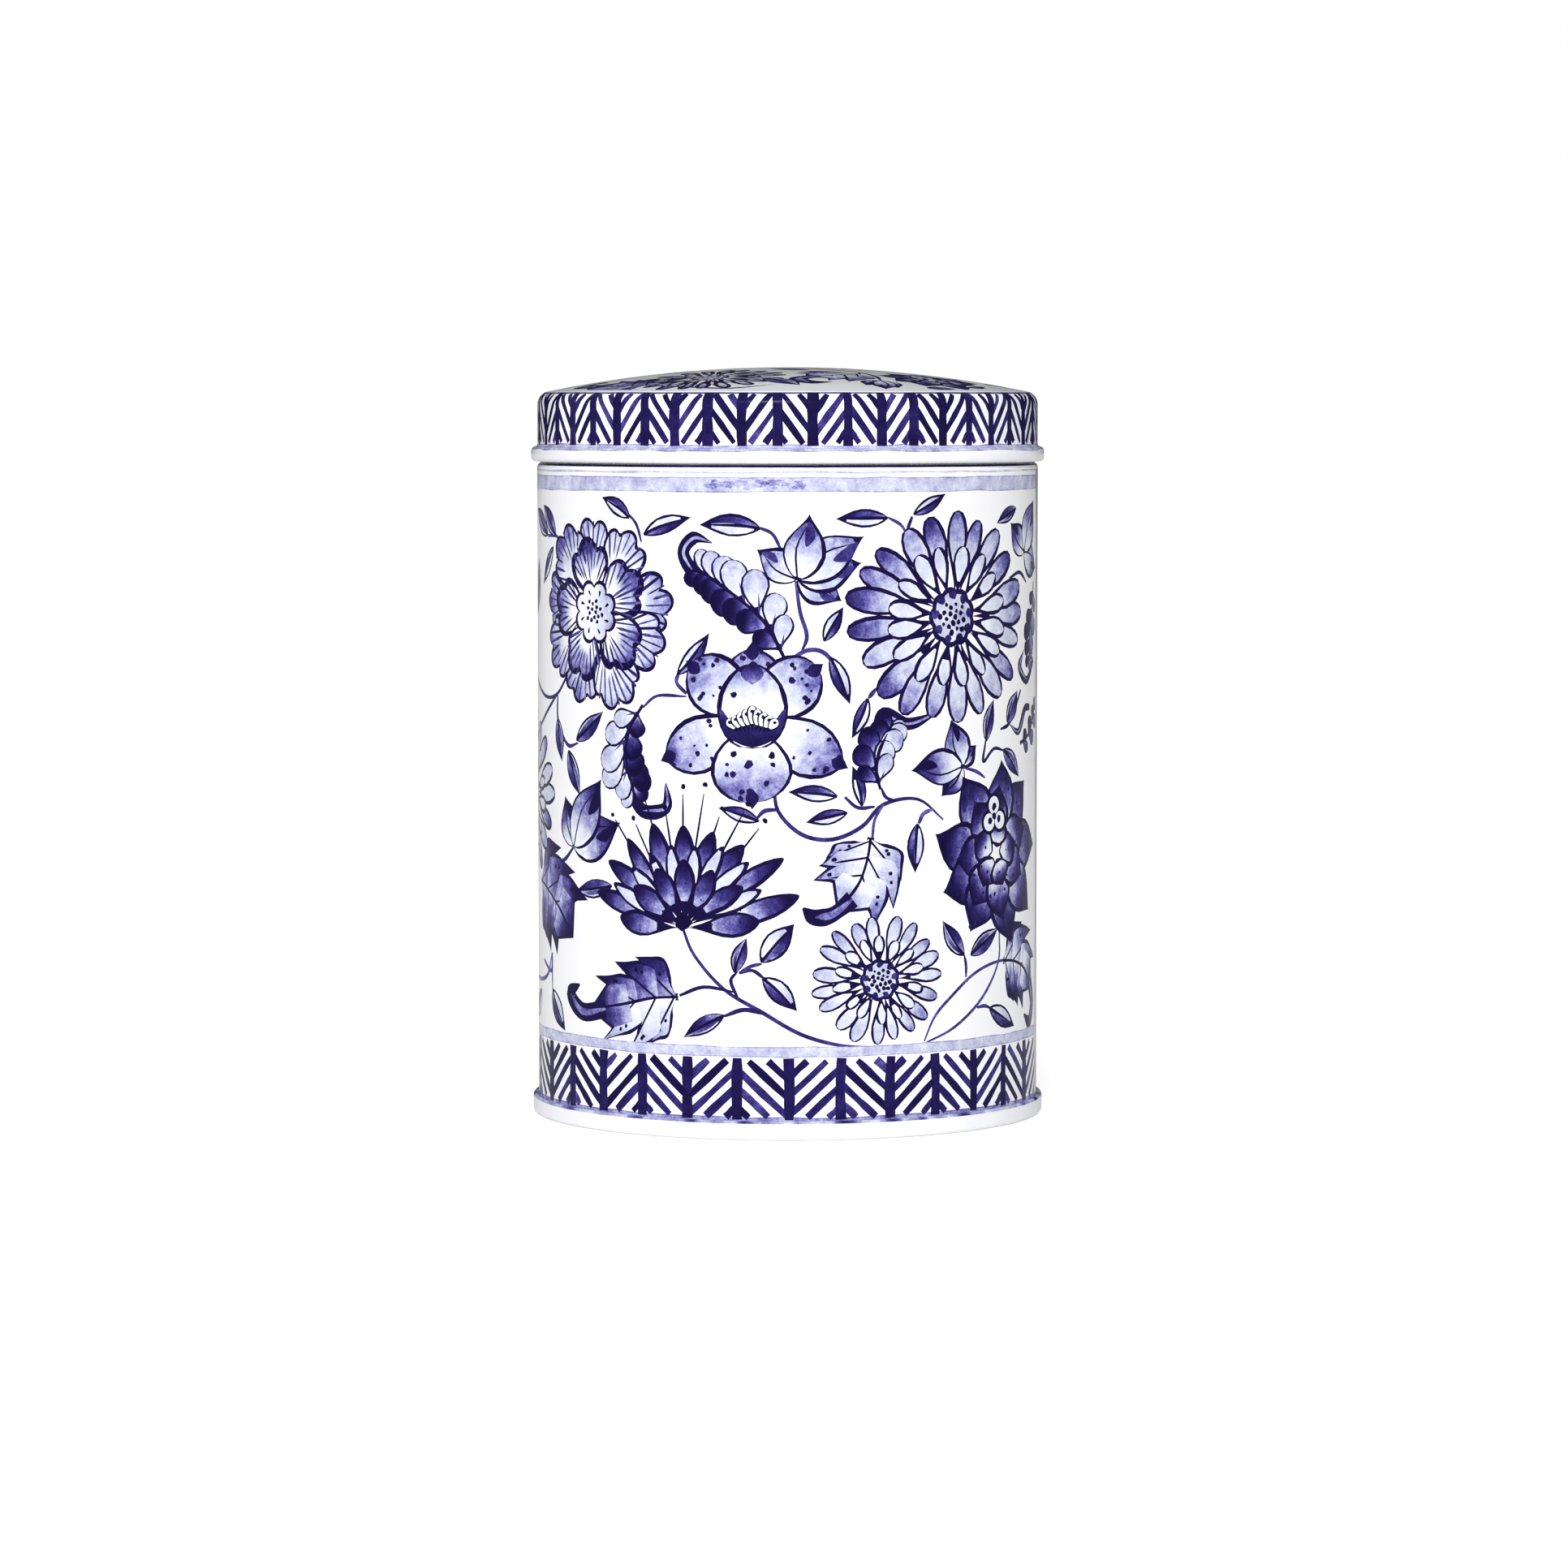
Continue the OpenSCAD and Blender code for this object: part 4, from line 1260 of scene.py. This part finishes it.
def printed_enamel():
    material, nodes, links, shader = new_material("printed_enamel")
    where = nodes.new("ShaderNodeTexCoord").outputs["Object"]
    attribute = nodes.new("ShaderNodeAttribute")
    attribute.attribute_name = "ink"
    ink = attribute.outputs["Fac"]
    cloud = spread(nodes, links, noise(nodes, links, where, 0.5, 5, 0.6), -1, 1)
    grain = spread(nodes, links, noise(nodes, links, where, 3.2, 4, 0.7), -1, 1)
    wander = math_node(nodes, links, "MULTIPLY_ADD", grain, 0.55, cloud)
    bare = math_node(nodes, links, "SUBTRACT", 1.0, ink)
    middle = math_node(nodes, links, "MULTIPLY", ink, bare)
    amount = math_node(nodes, links, "MULTIPLY", middle, 0.8)
    moved = math_node(nodes, links, "MULTIPLY_ADD", wander, amount, ink, clamp=True)
    ramp = nodes.new("ShaderNodeValToRGB")
    ramp.color_ramp.interpolation = "LINEAR"
    stops = ramp.color_ramp.elements
    for place, _ in INKS[1:-1]:
        stops.new(place)
    for stop, (place, colour) in zip(stops, INKS):
        stop.position = place
        stop.color = srgb(*colour)
    links.new(moved, ramp.inputs["Fac"])
    links.new(ramp.outputs["Color"], shader.inputs["Base Color"])
    shine = spread(nodes, links, noise(nodes, links, where, 0.12, 3), 0.11, 0.17)
    inked = math_node(nodes, links, "MULTIPLY_ADD", ink, 0.05, shine)
    links.new(inked, shader.inputs["Roughness"])
    shader.inputs["IOR"].default_value = ENAMEL_IOR
    gloss = math_node(nodes, links, "MULTIPLY_ADD", bare, 0.13, 0.06)
    links.new(gloss, shader.inputs["Specular IOR Level"])
    peel = noise(nodes, links, where, 0.9, 3, 0.5)
    layer = math_node(nodes, links, "MULTIPLY_ADD", ink, 0.12, peel)
    bump(nodes, links, shader, layer, PEEL_DEPTH)
    return material


# %% Plain enamel
def white_enamel():
    material, nodes, links, shader = new_material("white_enamel")
    where = nodes.new("ShaderNodeTexCoord").outputs["Object"]
    mottle = spread(nodes, links, noise(nodes, links, where, 0.25, 5, 0.6), 0, 1)
    two_tints(nodes, links, shader, mottle, srgb(*ENAMEL), srgb(244, 245, 250))
    shine = spread(nodes, links, noise(nodes, links, where, 0.12, 3), 0.28, 0.36)
    links.new(shine, shader.inputs["Roughness"])
    shader.inputs["IOR"].default_value = ENAMEL_IOR
    shader.inputs["Specular IOR Level"].default_value = 0.2
    bump(nodes, links, shader, noise(nodes, links, where, 0.9, 3, 0.5), PEEL_DEPTH)
    return material


# %% Bright tinplate
def bright_tinplate():
    material, nodes, links, shader = new_material("bright_tinplate")
    where = nodes.new("ShaderNodeTexCoord").outputs["Object"]
    mapping = nodes.new("ShaderNodeMapping")
    mapping.inputs["Scale"].default_value = (1.0, 1.0, 0.03)
    links.new(where, mapping.inputs["Vector"])
    lines = noise(nodes, links, mapping.outputs["Vector"], 1.4, 4, 0.6)
    spangle = spread(nodes, links, noise(nodes, links, where, 0.18, 2, 0.5), 0, 1)
    two_tints(nodes, links, shader, spangle, srgb(199, 197, 193), srgb(218, 215, 210))
    shader.inputs["Metallic"].default_value = 1.0
    links.new(spread(nodes, links, lines, 0.2, 0.36), shader.inputs["Roughness"])
    bump(nodes, links, shader, lines, 0.006)
    return material


finishes = [printed_enamel(), white_enamel(), bright_tinplate()]
print("finishes:", [material.name for material in finishes])

# %% [markdown]
# ## The body wall
# Outside it is printed from the foot to the step. The top of the step carries a thin dark painted
# shadow, ink standing in for the shade of the gap under the lid's edge. The neck and the curl are bare,
# so that the lid slides on clean metal.
# Inside it is bare tinplate with the folded lock of the side seam standing up as a flat rib.

# %% Build the body wall
def wall_uv(cell, z, middle_cell):
    """Two halves of the wall, one above the other."""
    half = (middle_cell >= SEGMENTS / 2)[:, None]
    u = (cell - half * SEGMENTS / 2) / (SEGMENTS / 2)
    v = 0.02 + 0.45 * ((z - WALL_LOW) / (WALL_HIGH - WALL_LOW) + half)
    return np.stack([0.01 + 0.98 * u, v], 2)


def lock_rib(shell):
    """The folded lock inside the wall: four layers pressed flat, with round folds at both sides."""
    half_w, thick, fold_r = 1.6, 3 * PLATE, 0.25
    inner = WALL_R - PLATE + 0.03
    bend = np.radians(np.linspace(0, 90, 6))
    side = [(half_w - fold_r + fold_r * math.cos(b), thick - fold_r + fold_r * math.sin(b))
            for b in bend]
    outline = [(half_w, 0.0)] + side + [(-x, y) for x, y in side[::-1]] + [(-half_w, 0.0)]
    outline = np.array(outline)
    marks = [LAP_H, LAP_H + 0.4] + list(np.linspace(12, SHOULDER_Z - 12, 9)) + [
        SHOULDER_Z - LAP_H - 0.4, SHOULDER_Z - LAP_H]
    rings = []
    for z in marks:
        height = 0.4 if z in (marks[0], marks[-1]) else 1.0
        a = shell.start + outline[:, 0] / WALL_R
        r = inner - outline[:, 1] * height
        rings.append(np.stack([r * np.sin(a), -r * np.cos(a), np.full(len(a), z)], 1))
    rings = np.array(rings)
    count = len(outline)
    quads, places = [], []
    for j in range(len(marks) - 1):
        for i in range(count):
            k = (i + 1) % count
            quads.append([rings[j, i], rings[j, k], rings[j + 1, k], rings[j + 1, i]])
            u0, u1 = 0.01 + 0.98 * j / (len(marks) - 1), 0.01 + 0.98 * (j + 1) / (len(marks) - 1)
            v0, v1 = 0.985 + 0.012 * i / count, 0.985 + 0.012 * (i + 1) / count
            places.append([[u0, v0], [u0, v1], [u1, v1], [u1, v0]])
    quads = np.array(quads)
    square = np.cross(quads[:, 1] - quads[:, 0], quads[:, 3] - quads[:, 0])
    square /= np.linalg.norm(square, axis=1)[:, None]
    shell.add(quads, np.repeat(square[:, None], 4, 1), np.array(places), "tinplate")
    for end, turn_over in ((rings[0], True), (rings[-1], False)):
        centre = end.mean(0)
        fan = np.array([[centre, end[i], end[(i + 1) % count]] for i in range(count)])
        if turn_over:
            fan = fan[:, ::-1]
        square = np.cross(fan[:, 1] - fan[:, 0], fan[:, 2] - fan[:, 0])
        square /= np.linalg.norm(square, axis=1)[:, None]
        uv = np.full((count, 3, 2), 0.999)
        shell.add(fan, np.repeat(square[:, None], 3, 1), uv, "tinplate")


body_shell = Shell(SEAM_ANGLE)
inner, outer = section(body_path)
straight = int(np.argmax(np.abs(np.diff(outer[:, 1]))))
loop = np.vstack([inner, outer, inner[:1]])
mouth, wall_top, foot = len(inner), len(inner) + straight, len(loop) - 2
step_top = mouth + int(np.argmax(outer[:, 1] < SHOULDER_Z + step_half_h * 0.4))
body_shell.turned(loop, 0, mouth - 1, "tinplate", (0.01, 0.93, 0.99, 0.98))
body_shell.turned(loop, mouth - 1, mouth, "tinplate", (0.01, 0.9805, 0.99, 0.981))
body_shell.turned(loop, mouth, step_top, "tinplate", (0.01, 0.922, 0.99, 0.926))
# Painted shadow: near-full ink on the top tenth of a millimetre of the step, where the gap under the
# lid falls in shade.
painted_gap_shadow = np.where(loop[step_top:wall_top + 1, 1] > SHOULDER_Z - 0.1, 0.9, 0.0)
body_shell.turned(loop, step_top, wall_top, "print", (0.01, 0.9265, 0.99, 0.929),
                  np.repeat(painted_gap_shadow[:, None], SEGMENTS, 1))
body_shell.turned(loop, wall_top + 1, foot, "enamel", (0.01, 0.002, 0.99, 0.01))
body_shell.turned(loop, foot, foot + 1, "tinplate", (0.01, 0.9815, 0.99, 0.982))
WALL_LOW, WALL_HIGH = outer[straight + 1, 1], outer[straight, 1]
wall_rows = [WALL_LOW, LAP_H - LAP_FADE, LAP_H + LAP_FADE] + list(np.arange(12, 92, 8.0)) + [
    SHOULDER_Z - LAP_H - LAP_FADE, SHOULDER_Z - LAP_H + LAP_FADE, WALL_HIGH]
wall_profile = outer[[straight + 1, straight]]
printed_strip(body_shell, wall_art, SEAM_START, wall_rows, wall_profile, wall_profile[:, 1], wall_uv,
              grooved=True)
lock_rib(body_shell)
printed_body = body_shell.build("printed_body", finishes)

# %% [markdown]
# ## The bottom end
# One stamped disc of white enamelled plate: a panel with a raised middle, a channel that stiffens it,
# and an edge curled over the wall's hook. Its enamel faces down and outwards.

# %% Build the bottom end
end_shell = Shell(0.0)
left, right = section(bottom_path)
loop = np.vstack([left, right])
hook = len(left)
end_shell.turned(loop, 0, hook - 1, "tinplate", (0.01, 0.01, 0.99, 0.48))
end_shell.turned(loop, hook - 1, hook, "tinplate", (0.01, 0.482, 0.99, 0.486))
STAIN_LOW_Z = 2.42
bend = hook + np.flatnonzero((right[:, 1] > STAIN_LOW_Z) & (right[:, 0] > WALL_R))
first, last = bend[0], bend[-1]
end_shell.turned(loop, hook, first, "enamel", (0.01, 0.49, 0.99, 0.55))
stain = wall_art.chance.choice([0.2, 0.3, 0.4, 0.75], (SEGMENTS, 1), p=[0.3, 0.3, 0.25, 0.15])
level = 1 - np.linspace(-0.25, 1.05, last - first + 1).clip(0, 1)
level = level if loop[first, 1] > loop[last, 1] else level[::-1]
stain = (stain * np.sqrt(level)).T
end_shell.turned(loop, first, last, "print", (0.01, 0.552, 0.99, 0.572), stain)
end_shell.turned(loop, last, len(loop) - 1, "enamel", (0.01, 0.575, 0.99, 0.99))
enamelled_bottom = end_shell.build("enamelled_bottom", finishes)

# %% [markdown]
# ## The lid
# The blank was printed on both the dome and the border, then drawn down over a die, which is why the
# herringbone runs round the shoulder. The lowest part of the edge stays white where it rolls under.

# %% Build the lid
def lid_uv(cell, z, middle_cell):
    """The border cut into four lengths, one above the other."""
    quarter = np.clip(np.floor(middle_cell / (SEGMENTS / 4)), 0, 3)[:, None]
    u = cell / (SEGMENTS / 4) - quarter
    v = 0.005 + 0.075 * (quarter + 0.97 * (z - lid_heights[0]) / (lid_heights[-1] - lid_heights[0]))
    return np.stack([0.01 + 0.98 * u, v], 2)


def dome_top(shell, drawing, edge_point):
    """The printed top of the dome, from the shoulder's edge to the middle."""
    edge_r, edge_z = edge_point
    a = shell.angles()
    lines = []
    rings = ((1, 1), (0.9, 2), (0.78, 2), (0.64, 3), (0.5, 4), (0.36, 6), (0.22, 10), (0.1, 18))
    for share, step in rings:
        lines.append(list(edge_r * share * (np.sin(a[::step]) - 1j * np.cos(a[::step]))))
    lines.append([0j])
    place, faces, ink = inked_triangles(drawing, lines)
    keep = np.abs(place[faces].mean(1)) < edge_r * math.cos(math.pi / SEGMENTS) - 1e-4
    faces, ink = faces[keep], ink[keep]
    turns = np.angle(1j * place) - a[0]
    cell = np.round(turns / (2 * math.pi) * SEGMENTS) % SEGMENTS
    on_edge = np.abs(np.abs(place) - edge_r) < 1e-3
    angle = a[0] + 2 * math.pi * cell / SEGMENTS
    x = np.where(on_edge, edge_r * np.sin(angle), place.real)
    y = np.where(on_edge, -edge_r * np.cos(angle), place.imag)
    r = np.hypot(x, y)
    z = dome_centre_z + np.sqrt(dome_r ** 2 - r ** 2)
    normals = np.stack([x, y, z - dome_centre_z], 1) / dome_r
    z[on_edge] = edge_z
    points = np.stack([x, y, z], 1)
    corners = points[faces]
    facing = np.cross(corners[:, 1] - corners[:, 0], corners[:, 2] - corners[:, 0])[:, 2]
    faces[facing < 0] = faces[facing < 0][:, ::-1]
    ink[facing < 0] = ink[facing < 0][:, ::-1]
    uv = np.stack([x, y], 1)[faces] / edge_r
    shell.add(points[faces], normals[faces], np.array([0.335, 0.665]) + 0.325 * uv, "print", ink)


lid_shell = Shell(math.pi)
outer, inner = section(lid_path)
loop = np.vstack([outer, inner])
tip = len(outer)
PRINT_LOW_Z = 100.0
on_curl = outer[:, 0] > SKIRT_R + 0.9
print_end = int(np.argmin(np.where(on_curl, np.abs(outer[:, 1] - PRINT_LOW_Z), 99)))
strip = outer[DOME_STEPS:print_end + 1][::-1]
lid_heights = np.append(0, np.cumsum(np.linalg.norm(np.diff(strip, axis=0), axis=1)))
lid_heights += turn_z - lid_heights[np.argmin(np.abs(strip[:, 1] - turn_z))]
print("lid strip from", round(lid_heights[0], 2), "to", round(lid_heights[-1], 2), "mm along the metal")
lid_shell.turned(loop, print_end, tip - 1, "enamel", (0.01, 0.31, 0.99, 0.325))
lid_shell.turned(loop, tip - 1, tip, "tinplate", (0.01, 0.326, 0.99, 0.329))
lid_shell.turned(loop, tip, len(loop) - 1, "tinplate", (0.68, 0.34, 0.99, 0.99))
printed_strip(lid_shell, lid_art, -ROUND / 2, list(lid_heights), strip, lid_heights, lid_uv)
dome_top(lid_shell, top_art, outer[DOME_STEPS])
printed_lid = lid_shell.build("printed_lid", finishes)

# %% [markdown]
# ## Where the pieces ride
# Each piece stands for one CAD node and rides on that node's body, so the lid lifts off with its print.

# %% Ride and replace
for piece, node, body, slot_name in ((printed_body, "body_wall", "tin", "printed_body"),
                                     (enamelled_bottom, "bottom_end", "tin", "enamelled_end"),
                                     (printed_lid, "lid", "lid", "printed_lid")):
    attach(piece, body)
    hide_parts(node)

# %% [markdown]
# ## The studio
# White goods are shot on white: a pale floor that runs out of sight, a bright surround, and one large
# soft lamp in front so that the round wall falls off gently to both sides. A dark card low behind the
# tin draws its outline: glossy edges reflect it, and white edges part from the white ground.

# %% Floor, surround and lamps
floor_mesh = bpy.data.meshes.new("floor")
floor_mesh.from_pydata([(-6, -6, 0), (6, -6, 0), (6, 6, 0), (-6, 6, 0)], [], [(0, 1, 2, 3)])
floor = bpy.data.objects.new("floor", floor_mesh)
bpy.context.scene.collection.objects.link(floor)
floor_material, nodes, links, shader = new_material("pale_floor")
where = nodes.new("ShaderNodeTexCoord").outputs["Object"]
dull = spread(nodes, links, noise(nodes, links, where, 0.02, 3), 0.75, 0.85)
links.new(dull, shader.inputs["Roughness"])
shader.inputs["Base Color"].default_value = (0.9, 0.9, 0.9, 1)
shader.inputs["Specular IOR Level"].default_value = 0.0
shader.inputs["Emission Color"].default_value = (1, 1, 1, 1)
seen = nodes.new("ShaderNodeLightPath").outputs["Is Camera Ray"]
links.new(math_node(nodes, links, "MULTIPLY", seen, 0.55), shader.inputs["Emission Strength"])
floor_mesh.materials.append(floor_material)

world = bpy.data.worlds.new("studio")
bpy.context.scene.world = world
world.use_nodes = True
nodes, links = world.node_tree.nodes, world.node_tree.links
towards = nodes.new("ShaderNodeSeparateXYZ")
links.new(nodes.new("ShaderNodeTexCoord").outputs["Generated"], towards.inputs["Vector"])


def ramp_between(value, low, high, first, last):
    """A smooth change from first to last as the value goes from low to high."""
    node = nodes.new("ShaderNodeMapRange")
    node.interpolation_type = "SMOOTHSTEP"
    for socket, number in (("From Min", low), ("From Max", high), ("To Min", first), ("To Max", last)):
        node.inputs[socket].default_value = number
    links.new(value, node.inputs["Value"])
    return node.outputs["Result"]


behind = ramp_between(towards.outputs["Y"], -0.6, 0.4, 0.76, 0.38)
card = math_node(nodes, links, "MAXIMUM", ramp_between(towards.outputs["Y"], 0.5, 0.75, 1, 0.08),
                 ramp_between(towards.outputs["Z"], 0.35, 0.6, 0, 1))
around = math_node(nodes, links, "MULTIPLY", behind, card)
seen = nodes.new("ShaderNodeMix")
links.new(nodes.new("ShaderNodeLightPath").outputs["Is Camera Ray"], seen.inputs["Factor"])
links.new(around, seen.inputs["A"])
seen.inputs["B"].default_value = 1.0
links.new(seen.outputs["Result"], nodes["Background"].inputs["Strength"])
nodes["Background"].inputs["Color"].default_value = (1, 1, 1, 1)


def lamp(name, place, aim, size, power):
    """A flat rectangular lamp that faces a point."""
    light = bpy.data.lights.new(name, "AREA")
    light.shape = "RECTANGLE"
    light.size, light.size_y = size
    light.energy = power
    holder = bpy.data.objects.new(name, light)
    holder.location = place
    holder.rotation_euler = (Vector(aim) - Vector(place)).to_track_quat("-Z", "Y").to_euler()
    bpy.context.scene.collection.objects.link(holder)


lamp("front_softbox", (-0.15, -1.3, 0.7), (0, 0, 0.06), (0.6, 0.6), 6.4)
lamp("glint_strip", (-0.17, -1.1, 0.62), (0, 0, 0.1), (0.3, 0.02), 4.5)

# %% [markdown]
# ## The camera
# A long lens from not quite a metre keeps the sides of the tin nearly upright. It stands level with the
# lid's edge and looks down a little, so both the foot and the front of the dome are seen.

# %% Camera
camera_data = bpy.data.cameras.new("camera")
camera_data.lens = 132.6
camera_data.sensor_width = 36
camera = bpy.data.objects.new("camera", camera_data)
camera.location = (-0.00054, -0.8789, 0.10854)
LOOK_DOWN = 3.821
camera.rotation_euler = (math.radians(90 - LOOK_DOWN), 0, 0)
bpy.context.scene.collection.objects.link(camera)
bpy.context.scene.camera = camera
bpy.context.scene.view_settings.view_transform = "Standard"
